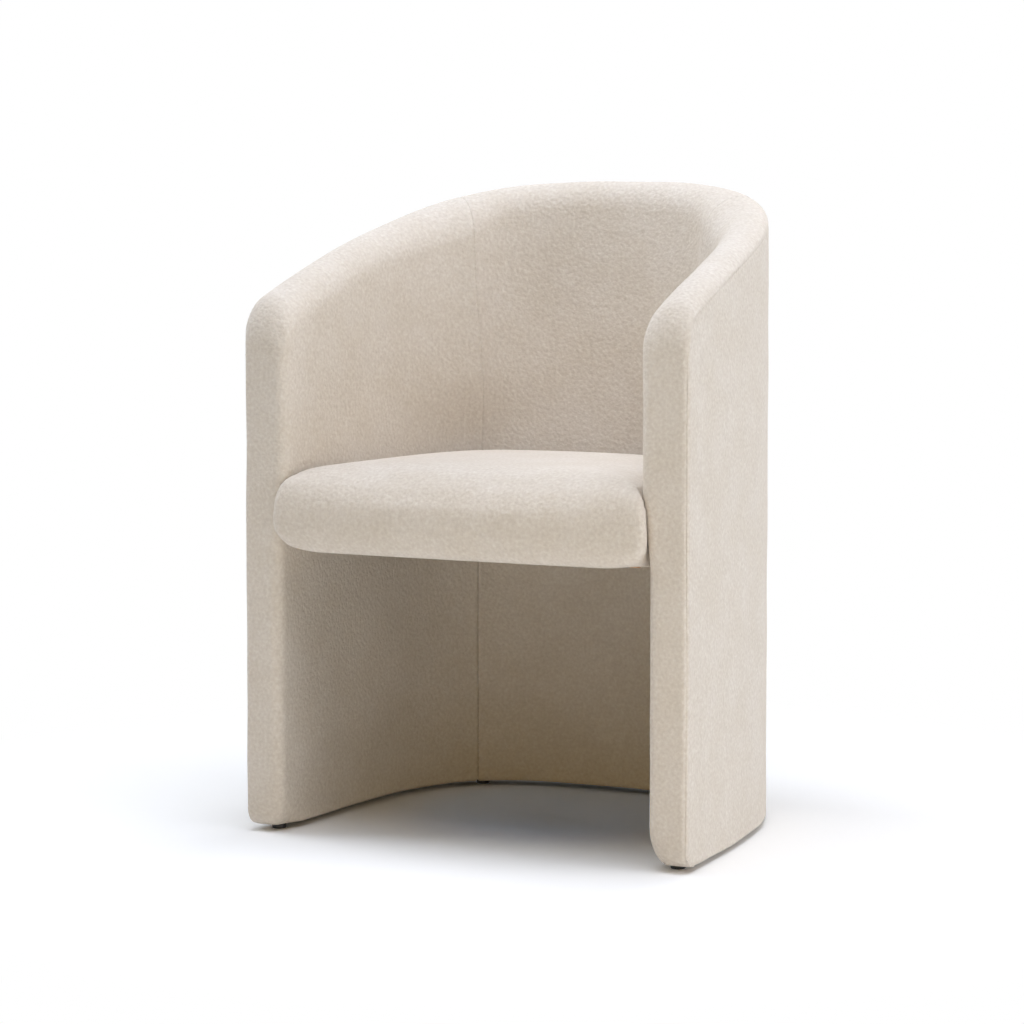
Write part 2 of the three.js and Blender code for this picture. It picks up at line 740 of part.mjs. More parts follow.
// Rows of the pad from its hem up over the crown: height, tuck, squeeze, lift of the inner surface, how
// far the outline is drawn towards the middle, and whether the foam has this row too
const seatHeight = seatEdge - seatBottom;
const padRowShares = [
  { height: 0, tuck: 0.95, squeeze: 0.8, lift: 1, draw: 0, foam: false },
  { height: 0.05, tuck: 0.45, squeeze: 0.25, lift: 0.6, draw: 0, foam: true },
  { height: 0.28, tuck: 0, squeeze: 0, lift: 0, draw: 0, foam: true },
  { height: 0.62, tuck: 0, squeeze: 0, lift: 0, draw: 0, foam: true },
  { height: 0.84, tuck: 0.36, squeeze: 0.1, lift: -0.5, draw: 0, foam: true },
  { height: 0.95, tuck: 0.8, squeeze: 0.5, lift: -0.8, draw: 0, foam: true },
  { height: 1, tuck: 1.2, squeeze: 1.1, lift: -1, draw: 0, foam: false },
  { height: 1, tuck: 1.2, squeeze: 1.1, lift: -1, draw: 0.16, foam: false },
  { height: 1, tuck: 1.2, squeeze: 1.1, lift: -1, draw: 0.42, foam: true },
  { height: 1, tuck: 1.2, squeeze: 1.1, lift: -1, draw: 1, foam: true },
];
const padCentre = new THREE.Vector2(0, planPoint(turnLength, lowerWall).y - straightSide / 2);

function padRing(row, inset) {
  const crown = row.lift < 0 ? seatCrown * (1 - (1 - row.draw) * (1 - row.draw)) : 0;
  const z = seatBottom + seatHeight * row.height;
  return insetLoop(padOutline(z, row.tuck, row.squeeze), inset).map((point) => {
    const plan = point.lerp(padCentre, row.draw);
    return new THREE.Vector3(plan.x, plan.y, z + crown + row.lift * inset);
  });
}

// Inner edge of the seat cover's hem, turned under the frame
function padHemRing(distance, z) {
  const loop = insetLoop(padOutline(seatBottom, padRowShares[0].tuck, padRowShares[0].squeeze), distance);
  return loop.map((plan) => new THREE.Vector3(plan.x, plan.y, z));
}

function columnsOf(rings) {
  return rings[0].map((_, i) => rings.map((ring) => ring[i]));
}

function seatCoverSurface(inset) {
  const hemEdge = padHemRing(hemWidth, seatBottom + inset);
  return columnsOf([hemEdge, ...padRowShares.map((row) => padRing(row, inset))]);
}

const seatHoles = boltPlaces.map((bolt) => boltHole(bolt.s));
const seatCover = shell(seatCoverSurface(0), seatCoverSurface(cover), true);
add('seat_cover', drilled(seatCover, seatHoles), creamFabric);

// Outline of the seat frame, with the same points as the pad's outline
function frameOutline(inset) {
  const side = padColumns.map((s) => planPoint(s, seatRailOut(s) + inset));
  const last = side[side.length - 1];
  const front = frontRailSetBack + inset;
  const end = planPoint(halfLength - front, seatRailOut(padFar) + inset).setY(front);
  const right = tuckedShares.map((_, i) => last.clone().lerp(end, (i + 1) / tuckedShares.length));
  const left = right.map((point) => new THREE.Vector2(-point.x, point.y));
  const across = frontShareSteps.map((share) => new THREE.Vector2(-share * end.x, front));
  return [...side, ...right, ...across, ...left.reverse()];
}

// Foam of the seat: over the deck and down round the frame
const seatFoamRows = padRowShares.filter((row) => row.foam);
const seatFoamOuter = columnsOf(seatFoamRows.map((row) => padRing(row, cover + clearance)));
const seatFoamInner = frameOutline(-clearance).map((point, i) => seatFoamRows.map((row, j) => {
  const overDeck = row.height * seatHeight > deckHigh - seatBottom;
  if (!overDeck) return new THREE.Vector3(point.x, point.y, seatFoamOuter[i][j].z);
  const plan = point.clone().lerp(padCentre, row.draw);
  return new THREE.Vector3(plan.x, plan.y, deckHigh + clearance);
}));
add('seat_foam', drilled(shell(seatFoamOuter, seatFoamInner, true), seatHoles), foam);

// Seat frame: a straight front rail, two side rails and a back rail that follow the wall, and a deck
const frontRailBack = frontRailSetBack + seatRailThickness;
const seatRailIn = (s) => seatRailOut(s) + seatRailThickness;
const frontRailEnd = halfLength - frontRailBack;
const frameEnd = planPoint(frontRailEnd, seatRailOut(padFar)).x - clearance;
const frontRail = new THREE.BoxGeometry(2 * frameEnd, seatRailThickness, seatRailHeight);
frontRail.translate(0, (frontRailSetBack + frontRailBack) / 2, boltHeight);
add('seat_rail_front', frontRail, beech);
const endSkew = -planPoint(halfLength, seatRailIn(padFar)).y;
const sideRailFar = frontRailEnd - clearance - endSkew;
for (const { name, sign } of sides) {
  const span = sideRange(sign, seamDistance + clearance / 2, sideRailFar);
  const rail = strip(...span, seatRailOut, seatRailIn, seatRailLow, seatRailHigh);
  add(`seat_rail_${name}`, drilled(rail, boltHoles(name)), beech);
  const legEnd = planPoint(sideRailFar - blockLeg - endSkew, seatRailIn(sideRailFar - blockLeg));
  const cornerX = legEnd.x - clearance;
  const cornerY = frontRailBack + clearance;
  const outline = [
    new THREE.Vector2(sign * cornerX, cornerY),
    new THREE.Vector2(sign * (cornerX - blockLeg), cornerY),
    new THREE.Vector2(sign * cornerX, cornerY + blockLeg),
  ];
  add(`corner_block_${name}`, plate(outline, seatRailLow, seatRailHigh), beech);
}
const backRailSpan = [clearance / 2 - seamDistance, seamDistance - clearance / 2];
const backRail = strip(...backRailSpan, seatRailOut, seatRailIn, seatRailLow, seatRailHigh);
add('seat_rail_back', drilled(backRail, boltHoles('back')), beech);
add('seat_deck', plate(frameOutline(0), deckLow, deckHigh), plywood);

const clothHigh = seatRailLow - clearance;
const clothOutline = padHemRing(hemWidth + clearance, clothHigh);
add('seat_dust_cloth', plate(clothOutline, clothHigh - dustCloth, clothHigh), blackCloth);

for (const bolt of boltPlaces) add(bolt.name, boltBody(bolt.s), zincSteel);

// The origin is the middle of the chair's footprint, on the floor
const extent = new THREE.Box3().setFromObject(chair);
chair.position.y = -(extent.min.y + extent.max.y) / 2;

export default chair;
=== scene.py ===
# %% [markdown]
# An upholstered tub chair. One padded wall runs in a U from arm front to arm front, with a soft rolled
# rim, and a crowned seat pad is held between its sides. The chair's timber frame, foam and fasteners are
# already packed as solids. This notebook dresses them: it makes the fabric panels, the seat pad, the
# cloths underneath and the glides, gives every piece its finish, and lights the chair on a pale floor.

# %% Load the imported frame
import json
import math
import bpy
import numpy as np
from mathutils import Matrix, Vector


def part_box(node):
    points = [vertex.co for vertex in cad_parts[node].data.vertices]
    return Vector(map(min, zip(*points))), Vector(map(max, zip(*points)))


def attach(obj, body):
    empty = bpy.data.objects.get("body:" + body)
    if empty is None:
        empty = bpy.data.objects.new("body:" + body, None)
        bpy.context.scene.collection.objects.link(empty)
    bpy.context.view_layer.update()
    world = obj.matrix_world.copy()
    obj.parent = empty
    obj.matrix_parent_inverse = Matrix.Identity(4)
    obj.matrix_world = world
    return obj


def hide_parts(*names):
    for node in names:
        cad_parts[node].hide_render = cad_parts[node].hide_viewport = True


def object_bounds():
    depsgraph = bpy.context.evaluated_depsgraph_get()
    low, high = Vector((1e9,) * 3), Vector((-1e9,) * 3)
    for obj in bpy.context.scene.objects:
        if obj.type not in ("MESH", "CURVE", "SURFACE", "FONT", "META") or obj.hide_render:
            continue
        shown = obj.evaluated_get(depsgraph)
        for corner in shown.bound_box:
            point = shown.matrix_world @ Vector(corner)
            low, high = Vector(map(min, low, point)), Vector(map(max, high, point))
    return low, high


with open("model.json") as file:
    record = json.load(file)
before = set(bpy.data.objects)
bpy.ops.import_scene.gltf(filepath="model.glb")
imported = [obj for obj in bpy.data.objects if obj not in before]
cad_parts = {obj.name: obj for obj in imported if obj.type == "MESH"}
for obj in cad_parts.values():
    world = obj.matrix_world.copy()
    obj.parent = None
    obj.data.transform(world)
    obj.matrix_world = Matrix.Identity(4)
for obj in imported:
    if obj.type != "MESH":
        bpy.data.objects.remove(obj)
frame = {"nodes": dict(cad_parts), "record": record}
nodes = frame["nodes"]
cad_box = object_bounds()
MM = 0.001
print("solids:", len(nodes), "box:", [[round(v, 4) for v in corner] for corner in cad_box])

# %% [markdown]
# The camera comes first, because it decides what shows. The photograph was taken from about 26 degrees
# round to the viewer's right and a little above the seat, with a long lens, so that the chair hardly
# tapers. The lens is shifted down rather than the camera tilted far, which keeps upright lines upright.
# The numbers come from matching known points of the chair to their places in the picture.

# %% Camera
CAMERA_TURN = 26.13
CAMERA_PITCH = 3.23
LENS_SHIFT = -0.12207
FOCAL_PIXELS = 3041.3
PICTURE_PIXELS = 1024
SENSOR_MM = 36.0

camera_data = bpy.data.cameras.new("camera")
camera_data.sensor_width = SENSOR_MM
camera_data.lens = FOCAL_PIXELS / PICTURE_PIXELS * SENSOR_MM
camera_data.shift_y = LENS_SHIFT
camera_data.clip_end = 100
camera = bpy.data.objects.new("camera", camera_data)
camera.location = (1.67432, -3.49866, 0.77555)
camera.rotation_euler = (math.radians(90 - CAMERA_PITCH), 0, math.radians(CAMERA_TURN))
bpy.context.scene.collection.objects.link(camera)
bpy.context.scene.camera = camera
print("lens:", round(camera_data.lens, 1), "mm")

# %% [markdown]
# The wall is easiest to describe by how far one has walked round it. Seen from above, each half of its
# outer face is one smooth curve, from the arm's front corner to the middle of the back. A table of that
# curve gives, for a distance q from the middle of the back, the plan point and the direction inwards, so
# any place in the wall is named by its distance s (left is negative), its depth d and its height z.

# %% Plan of the wall
FRONT_HALF, SHELL_DEPTH = 302.0, 490.0
SIDE_DRAW, SIDE_REACH, BACK_REACH = 13.0, 0.715, 0.949

t = np.linspace(0, 1, 6001)[:, None]
corners = np.array([[0, SHELL_DEPTH], [BACK_REACH * FRONT_HALF, SHELL_DEPTH],
                    [FRONT_HALF - SIDE_DRAW, SIDE_REACH * SHELL_DEPTH], [FRONT_HALF, 0]])
weights = np.hstack([(1 - t) ** 3, 3 * (1 - t) ** 2 * t, 3 * (1 - t) * t ** 2, t ** 3])
curve = weights @ corners
walked = np.concatenate([[0], np.cumsum(np.linalg.norm(np.diff(curve, axis=0), axis=1))])
HALF_LENGTH = walked[-1]
along = np.gradient(curve, walked, axis=0)
along[0] = (1, 0)
along /= np.linalg.norm(along, axis=1)[:, None]
inward = np.stack([along[:, 1], -along[:, 0]], axis=1)
END_ALONG = along[-1]
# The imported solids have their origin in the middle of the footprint
Y_SHIFT = cad_box[1][1] / MM - SHELL_DEPTH


def plan(s, d):
    """Plan point in mm: the curve's point at distance |s|, moved d inwards, mirrored where s is negative.
    Past an arm's front corner the curve runs straight on."""
    q, d = np.broadcast_arrays(np.abs(s), d)
    beyond = np.maximum(q - HALF_LENGTH, 0)
    x, y, nx, ny = (np.interp(q, walked, column) for column in (*curve.T, *inward.T))
    x = x + nx * d + END_ALONG[0] * beyond
    y = y + ny * d + END_ALONG[1] * beyond
    return np.where(s < 0, -x, x), y + Y_SHIFT


print("half of the wall:", round(HALF_LENGTH, 1), "mm, y shift:", round(Y_SHIFT, 1))

# %% [markdown]
# Four sizes change along the wall: the rim climbs from the arms to the back, the wall is thickest where
# the seat meets it and thins towards the rim, extra padding fills the two back corners above the seat, and
# near an arm's front everything rounds off. Each is a small function of place that works on whole arrays.

# %% Sizes along the wall
BASE_GAP, ARM_HEIGHT, BACK_HEIGHT, RIM_BOW = 6.0, 665.0, 821.0, 0.3
CREST_INSET, SEAM_DROP, ROLL_DROP = 24.0, 19.0, 41.0
LOWER_WALL, SEAT_WALL, RIM_WALL = 52.0, (62.0, 74.0), (62.0, 50.0)
SEAT_BOTTOM, SEAT_EDGE, SEAT_CROWN = 357.0, 452.0, 12.0
CAP_REACH, CAP_HEIGHT, FRONT_ROUND, BASE_ROUND = 30.0, 45.0, 15.5, 25.0
EDGE_ROUND, CORNER_WIDTH, CORNER_HEIGHT, CORNER_REACH = 8.0, 30.0, 50.0, 60.0
TURN_AT, TURN_REACH, TURN_FILL, TURN_ROLL, TURN_RISE = 245.0, (80.0, 105.0), 28.0, 19.0, 120.0


def lerp(a, b, share):
    """The value a share of the way from a to b."""
    return a + (b - a) * share


def smooth(share):
    """A share from 0 to 1, eased at both ends: 3 times its square less twice its cube."""
    share = np.clip(share, 0, 1)
    return share * share * (3 - 2 * share)


def depth_share(s):
    """How far back a place lies, from 0 at the arm fronts to 1 at the back."""
    return np.clip((plan(s, 0)[1] - Y_SHIFT) / SHELL_DEPTH, 0, 1)


def rim_height(s):
    """Height of the crest: a straight climb, plus a bow that is fullest near the arms."""
    v = depth_share(s)
    return ARM_HEIGHT + (BACK_HEIGHT - ARM_HEIGHT) * (v + RIM_BOW * v * (1 - v) ** 2)


def turn_share(s):
    """How much the back corners are filled: 1 in the corner, then 1 / (1 + x squared), less what is left
    of it at the middle of the back."""
    q = np.abs(s)
    bell = 1 / (1 + ((q - TURN_AT) / np.where(q < TURN_AT, *TURN_REACH)) ** 2)
    left = 1 / (1 + (TURN_AT / TURN_REACH[0]) ** 2)
    return np.maximum((bell - left) / (1 - left), 0)


def rim_wall(s):
    """Thickness of the wall at the rim's inner roll, with more padding where the wall turns."""
    return lerp(*RIM_WALL, smooth(depth_share(s))) + TURN_FILL * turn_share(s)


def roll_drop(s):
    """Height of the inner roll, larger where the wall turns."""
    return ROLL_DROP + TURN_ROLL * turn_share(s)


def wall_thickness(s, z):
    """Even below the seat, growing to its fullest at the seat's edge, then thinning to the rim; the
    corners' padding starts above the seat."""
    at_seat = lerp(*SEAT_WALL, smooth(depth_share(s)))
    fill = TURN_FILL * turn_share(s)
    below = lerp(LOWER_WALL, at_seat, smooth((z - SEAT_BOTTOM) / (SEAT_EDGE - SEAT_BOTTOM)))
    roll = rim_height(s) - roll_drop(s)
    above = lerp(at_seat, rim_wall(s) - fill, np.clip((z - SEAT_EDGE) / (roll - SEAT_EDGE), 0, 1))
    return np.where(z < SEAT_EDGE, below, above + fill * smooth((z - SEAT_EDGE) / TURN_RISE))


def round_drop(w, reach, height):
    """Drop of an elliptical rounding, w behind its start: nothing past its reach, its height at w = 0."""
    k = np.clip(1 - w / reach, 0, 1)
    return height * (1 - np.sqrt(1 - k * k))


print("rim at the front and back:", rim_height(HALF_LENGTH), rim_height(0.0))

# %% [markdown]
# The arm front's outer edge is a soft corner with the seam on it, not a knife edge. Rather than model the
# rounding in every panel, one mapping rounds all of them. It takes the depth d from the outer side and the
# distance e from the outline of the arm's front and base, and bends the square corner onto a quarter circle.

# %% Rounding of the outer edge
OUTER_ROUND_FRONT, OUTER_ROUND_REAR, OUTER_ROUND_REACH = 9.0, 3.5, 60.0


def round_outer_edge(w, d, z):
    """Moves points near the square outer edge onto a quarter circle of radius R. With a = 1 - d/R and
    b = 1 - e/R, each is multiplied by the square root of one less half the other's square."""
    radius = lerp(OUTER_ROUND_FRONT, OUTER_ROUND_REAR, smooth(w / OUTER_ROUND_REACH))
    across = np.maximum(BASE_ROUND - w, 0)
    down = np.maximum(BASE_GAP + BASE_ROUND - z, 0)
    reach = np.hypot(across, down)
    e = BASE_ROUND - reach
    a = np.clip(1 - d / radius, 0, 1)
    b = np.clip(1 - e / radius, 0, 1)
    new_a = a * np.sqrt(1 - b * b / 2)
    new_b = b * np.sqrt(1 - a * a / 2)
    moved = radius * (b - new_b)
    scale = moved / np.maximum(reach, 1e-9)
    return w + across * scale, d + radius * (a - new_a), z + down * scale


# %% [markdown]
# Upholstery fabric is pulled over foam, so even a tight panel is never perfectly even, and a plain seam
# sinks into a narrow groove. Both are moves along the surface's normal. The unevenness is a sum of a few
# long waves in space, so it runs on from one panel to the next.

# %% Surface helpers
rng = np.random.default_rng(7)
WAVE_LENGTHS = rng.uniform(70, 190, 14)
wave_ways = rng.normal(size=(14, 3))
wave_ways /= np.linalg.norm(wave_ways, axis=1)[:, None]
wave_starts = rng.uniform(0, 2 * np.pi, 14)
UNEVEN = 0.28
GROOVE_DEPTH, LOW_CORNER_DEPTH, GROOVE_WIDTH = 0.7, 1.8, 1.6
DEEPER_FROM, DEEPER_OVER = 40.0, 60.0
SEAM_STEPS = np.array([0, 0.5, 1.0, 1.6, 2.3, 3.2, 4.6])


def grid_normals(points):
    """Unit normals of a grid: the cross product of its differences along columns and along rows. Where a
    row shrinks to a point, it takes the next row's."""
    normal = np.cross(np.gradient(points, axis=0), np.gradient(points, axis=1))
    for row, beside in ((0, 1), (-1, -2)):
        flat = np.linalg.norm(normal[:, row], axis=1) < 1e-6
        normal[flat, row] = normal[flat, beside]
    return normal / np.maximum(np.linalg.norm(normal, axis=2), 1e-9)[:, :, None]


def unevenness(points):
    """A sum of sine waves of the place, each with its own direction, length and start, in mm."""
    phases = points @ (wave_ways / WAVE_LENGTHS[:, None]).T * 2 * np.pi + wave_starts
    return UNEVEN * np.sin(phases).sum(axis=-1) / math.sqrt(len(wave_starts) / 2)


def groove(distance, depth=GROOVE_DEPTH):
    """Depth of a sewn seam's groove: greatest on the seam, fading as a bell curve over the width."""
    return depth * np.exp(-((distance / GROOVE_WIDTH) ** 2))


def corner_depth(z):
    """The corner seams sink deeper below the seat, where the cloth has less foam behind it."""
    return lerp(GROOVE_DEPTH, LOW_CORNER_DEPTH, smooth((SEAT_BOTTOM + DEEPER_FROM - z) / DEEPER_OVER))


def steps_from(points, axis):
    """Distance along the surface from the grid's first column or row."""
    lengths = np.linalg.norm(np.diff(points, axis=axis), axis=2)
    start = np.zeros_like(np.take(lengths, [0], axis=axis))
    return np.concatenate([start, np.cumsum(lengths, axis=axis)], axis=axis)


def near_edges(length, step, first=True, last=True):
    """Places along a length: even steps, with a few close ones by the ends that carry a seam."""
    close = np.append(SEAM_STEPS, 6.5)
    start = close if first else np.array([0.0])
    end = length - (close if last else np.array([0.0]))[::-1]
    count = max(int((end[0] - start[-1]) / step), 1)
    middle = np.linspace(start[-1], end[0], count + 1)[1:-1]
    return np.concatenate([start, middle, end])


def add_grid(name, points, closed=False):
    """A mesh object from a grid of points in mm: one quad between each four neighbours, joined end to
    end along its columns where it is closed."""
    columns, rows = points.shape[:2]
    index = np.arange(columns * rows).reshape(columns, rows)
    following = np.roll(index, -1, axis=0) if closed else index[1:]
    here = index if closed else index[:-1]
    quads = np.stack([here[:, :-1], following[:, :-1], following[:, 1:], here[:, 1:]], axis=-1)
    return add_mesh(name, points.reshape(-1, 3), quads.reshape(-1, 4))


def add_mesh(name, points, faces):
    """A smooth-shaded mesh object from points in mm and faces, at the origin."""
    mesh = bpy.data.meshes.new(name)
    mesh.from_pydata((points * MM).tolist(), [], np.asarray(faces).tolist())
    mesh.polygons.foreach_set("use_smooth", np.ones(len(mesh.polygons), bool))
    mesh.update()
    piece = bpy.data.objects.new(name, mesh)
    bpy.context.scene.collection.objects.link(piece)
    return piece


def thicken(piece, thickness):
    """Gives a sheet its thickness, inwards from its face."""
    solidify = piece.modifiers.new("thickness", "SOLIDIFY")
    solidify.thickness = thickness * MM
    solidify.offset = -1


# %% [markdown]
# An arm's inner panel is the most complicated piece of cloth on the chair. It starts at the seam on the
# arm's outer edge, crosses the front face, turns round the inner edge and runs back to the corner seam;
# at the same time it rolls over the rim, goes down the inside and turns under the base. So its grid has
# sections as rows, from the rim's seam over the roll and down to the hem, and columns that first cross
# the front face and then walk back along the wall.

# %% Inner panels
SEAM_DISTANCE, HEM_WIDTH, HEM_RAMP = 216.0, 14.0, 8.0
UP_LENGTH, FACE_WIDTH, FACE_STEP, SIDE_STEP = 34.0, 46.0, 2.0, 6.0
SEAM_LEAN, LEAN_REACH, LEAN_END = 22.0, 180.0, 0.36
PANEL_GAP = 0.15
# Set-backs of the columns in an arm's cap, close where its outline is steep; panels that meet share them
CAP_COLUMNS = CAP_REACH * (1 - np.cos(np.linspace(0, 1, 25)[:-1] * np.pi / 2))


def section(w, s):
    """Depth, height and place along the wall of the section, as arrays of columns by rows. Its rows are a
    quarter ellipse up to the crest, one down to the inner side, the side itself, the rounding at the base
    and the hem. Near the corner seams the upper rows lean towards the arms, as the seams do."""
    w, low = w[:, None], s[:, None]
    beside = np.abs(np.abs(low) - SEAM_DISTANCE)
    reach = np.where(np.abs(low) < SEAM_DISTANCE, SEAM_DISTANCE, LEAN_REACH)
    lean = np.sign(low) * SEAM_LEAN * smooth(1 - beside / reach)
    s = low + lean
    top = round_drop(w, CAP_REACH, CAP_HEIGHT)
    inner = round_drop(w, FRONT_ROUND, FRONT_ROUND)
    bottom = BASE_GAP + round_drop(w, BASE_ROUND, BASE_ROUND)
    near = np.clip(1 - w / CORNER_REACH, 0, 1)
    wide, tall = lerp(EDGE_ROUND, CORNER_WIDTH, near), lerp(EDGE_ROUND, CORNER_HEIGHT, near)
    rim = rim_height(s) - top
    up = np.concatenate([SEAM_STEPS / UP_LENGTH, np.linspace(0.2, 1, 9)]) * np.pi / 2
    over = np.linspace(0, 1, 15)[1:] * np.pi / 2
    down = np.linspace(0, 1, 96)[1:]
    under = np.linspace(0, 1, 11)[1:] * np.pi / 2
    d_up = CREST_INSET * (1 - np.cos(up)) + 0 * w
    z_up = rim - SEAM_DROP * (1 - np.sin(up))
    d_over = CREST_INSET + (rim_wall(s) - inner - CREST_INSET) * np.sin(over)
    z_over = rim - roll_drop(s) * (1 - np.cos(over))
    s_down = low + lean * (1 - smooth(down / LEAN_END))
    z_down = lerp(rim_height(s_down) - top - roll_drop(s_down), bottom + tall, down)
    d_down = wall_thickness(s_down, z_down) - inner
    d_under = LOWER_WALL - inner - wide * (1 - np.cos(under))
    z_under = bottom + tall * (1 - np.sin(under))
    hem_share = np.clip((w - BASE_ROUND) / HEM_RAMP, 0, 1)
    hem = lerp(0, np.minimum(LOWER_WALL - HEM_WIDTH, d_under[:, -1:] - 2), hem_share)
    last = np.linspace(0, 1, 9)[1:]
    d_last = lerp(d_under[:, -1:], hem, last)
    z_last = bottom + 0 * d_last
    places = [s + 0 * up, s + 0 * over, s_down, low + 0 * under, low + 0 * last]
    return (np.hstack([d_up, d_over, d_down, d_under, d_last]),
            np.hstack([z_up, z_over, z_down, z_under, z_last]), np.hstack(places))


def wall_points(side, w, d, z):
    """Points in mm from set-back, depth and height on one side, with the outer edge rounded."""
    w, d, z = round_outer_edge(w, d, z)
    x, y = plan(side * (HALF_LENGTH - w), d)
    return np.stack([x, y, z], axis=-1)


def arm_panel_points(side):
    """Grid of an arm's inner panel. On the front face each row runs straight from the outer edge, where
    rows are spread from the rim's seam to the base, to the section at the arm's front."""
    front_d, front_z, _ = section(np.array([0.0]), np.array([HALF_LENGTH]))
    lengths = np.concatenate([[0], np.cumsum(np.hypot(np.diff(front_d[0]), np.diff(front_z[0])))])
    edge_z = lerp(front_z[0, 0], BASE_GAP + BASE_ROUND, lengths / lengths[-1])
    share = near_edges(FACE_WIDTH, FACE_STEP, last=False)[:-1] / FACE_WIDTH
    face_d = lerp(0, front_d, share[:, None])
    face_z = lerp(edge_z, front_z, share[:, None])
    behind = HALF_LENGTH - SEAM_DISTANCE - PANEL_GAP - CAP_REACH
    w = np.concatenate([CAP_COLUMNS, CAP_REACH + near_edges(behind, SIDE_STEP, first=False)])
    side_d, side_z, side_s = section(w, HALF_LENGTH - w)
    d = np.vstack([face_d, side_d])
    z = np.vstack([face_z, side_z])
    w = np.vstack([0 * face_d, HALF_LENGTH - side_s])
    return wall_points(side, w, d, z)


def finish_panel(points, outward, from_seam, from_corner=np.inf):
    """Moves a panel's points along their normals, in by the grooves and out by the unevenness."""
    normals = grid_normals(points) * outward
    sunk = np.maximum(groove(from_seam), groove(from_corner, corner_depth(points[:, :, 2])))
    return points + normals * (unevenness(points) - sunk)[:, :, None]


FOAM_DEPTH, FOAM_THICKNESS = 3.0, 5.0
EDGE_LINES_LEFT_OUT, BASE_LINES_LEFT_OUT = 12, 20


def add_foam(name, points, outward):
    """The foam under a panel: its grid moved in along the normals, without its edges and the base."""
    points = points[EDGE_LINES_LEFT_OUT:, EDGE_LINES_LEFT_OUT:-BASE_LINES_LEFT_OUT]
    points = points - grid_normals(points) * outward * FOAM_DEPTH
    return add_grid(name, points if outward > 0 else points[::-1])


panels, foams = {}, {}
for side, name in ((-1, "left"), (1, "right")):
    points = arm_panel_points(side)
    foams[name] = add_foam(f"foam_{name}", points, side)
    from_seam = np.minimum(steps_from(points, 0), steps_from(points, 1))
    from_back = steps_from(points[::-1], 0)[::-1]
    # Normals of this grid point into the wall on one side and out of it on the other
    points = finish_panel(points, side, from_seam, from_back)
    points = points if side > 0 else points[::-1]
    panels[name] = add_grid(f"arm_panel_{name}", points)
    print(panels[name].name, points.shape)

s = near_edges(2 * (SEAM_DISTANCE - PANEL_GAP), SIDE_STEP) - (SEAM_DISTANCE - PANEL_GAP)
d, z, s = section(HALF_LENGTH - np.abs(s), s)
x, y = plan(s, d)
points = np.stack([x, y, z], axis=-1)
foams["back"] = add_foam("foam_back", points, -1)
from_edge = np.minimum(steps_from(points, 0), steps_from(points[::-1], 0)[::-1])
from_rim = steps_from(points, 1)
points = finish_panel(points, -1, from_rim, from_edge)
panels["back"] = add_grid("back_panel", points[::-1])
print(panels["back"].name, points.shape)

# %% [markdown]
# The outside is one long panel, from one arm's front edge round the back to the other. It hangs straight
# from the rim's seam and its hem turns under the wall. On the real chair it is drawn tight and stapled, so
# it is the flattest surface; its grid is the seam's height at the top, even steps down, and the turned hem.

# %% Outer panel
OUTER_HEIGHT, OUTER_STEP, OUTER_COLUMNS = 640.0, 8.0, 100


def outer_panel_points():
    """Grid of the outer panel: columns walk round the wall, rows go from the rim's seam to the hem."""
    w = np.concatenate([CAP_COLUMNS, np.linspace(CAP_REACH, HALF_LENGTH, OUTER_COLUMNS)])
    s = np.concatenate([w - HALF_LENGTH, (HALF_LENGTH - w[:-1])[::-1]])
    w = (HALF_LENGTH - np.abs(s))[:, None]
    top = rim_height(s)[:, None] - SEAM_DROP - round_drop(w, CAP_REACH, CAP_HEIGHT)
    low = BASE_GAP + round_drop(w, BASE_ROUND, BASE_ROUND)
    down = near_edges(OUTER_HEIGHT, OUTER_STEP)[None, :] / OUTER_HEIGHT
    z = lerp(top, low, down)
    under = np.linspace(0, 1, 11)[1:]
    turned = np.clip((w - BASE_ROUND - HEM_RAMP) / HEM_RAMP, 0, 1)
    d = np.hstack([0 * z, HEM_WIDTH * turned * under])
    z = np.hstack([z, low + 0 * under])
    w, d, z = round_outer_edge(w + 0 * d, d, z)
    x, y = plan(np.sign(s)[:, None] * (HALF_LENGTH - w), d)
    return np.stack([x, y, z], axis=-1)


points = outer_panel_points()
from_front = np.minimum(steps_from(points, 0), steps_from(points[::-1], 0)[::-1])
points = finish_panel(points, 1, np.minimum(from_front, steps_from(points, 1)))
panels["outer"] = add_grid("outer_panel", points)
print(panels["outer"].name, points.shape)

COVER_THICKNESS = 1.6
for panel in panels.values():
    thicken(panel, COVER_THICKNESS)
for foam in foams.values():
    thicken(foam, FOAM_THICKNESS)

# %% [markdown]
# The seat pad is foam over a frame, in a cover without piping: a full, round nose in front, with sides that
# are squeezed between the arms. Its outline at any height is the wall's inner line moved in a little, the
# turn round the arm's rounded edge, a nose corner, and a front that bows out. Two shares change it from
# height to height: tuck draws the nose back and squeeze draws the sides in.

# %% Outline of the seat pad
PAD_GAP, NOSE_REACH, NOSE_TUCK, NOSE_BOW, NOSE_CORNER = 2.2, 19.0, 26.0, 3.0, 13.0
TUCKED_CORNER, SIDE_TUCK, CORNER_START = 20.0, 10.0, 46.0
PAD_END, END_FULLNESS, SIDE_FADE = 49.0, 0.6, 70.0
TURN_SHARE, NOSE_SHARE = 0.55, 0.45


def end_tuck(z, tuck):
    """The tuck of the pad's ends, which are fuller than its nose in the upper half."""
    return tuck * END_FULLNESS if z > (SEAT_BOTTOM + SEAT_EDGE) / 2 else tuck


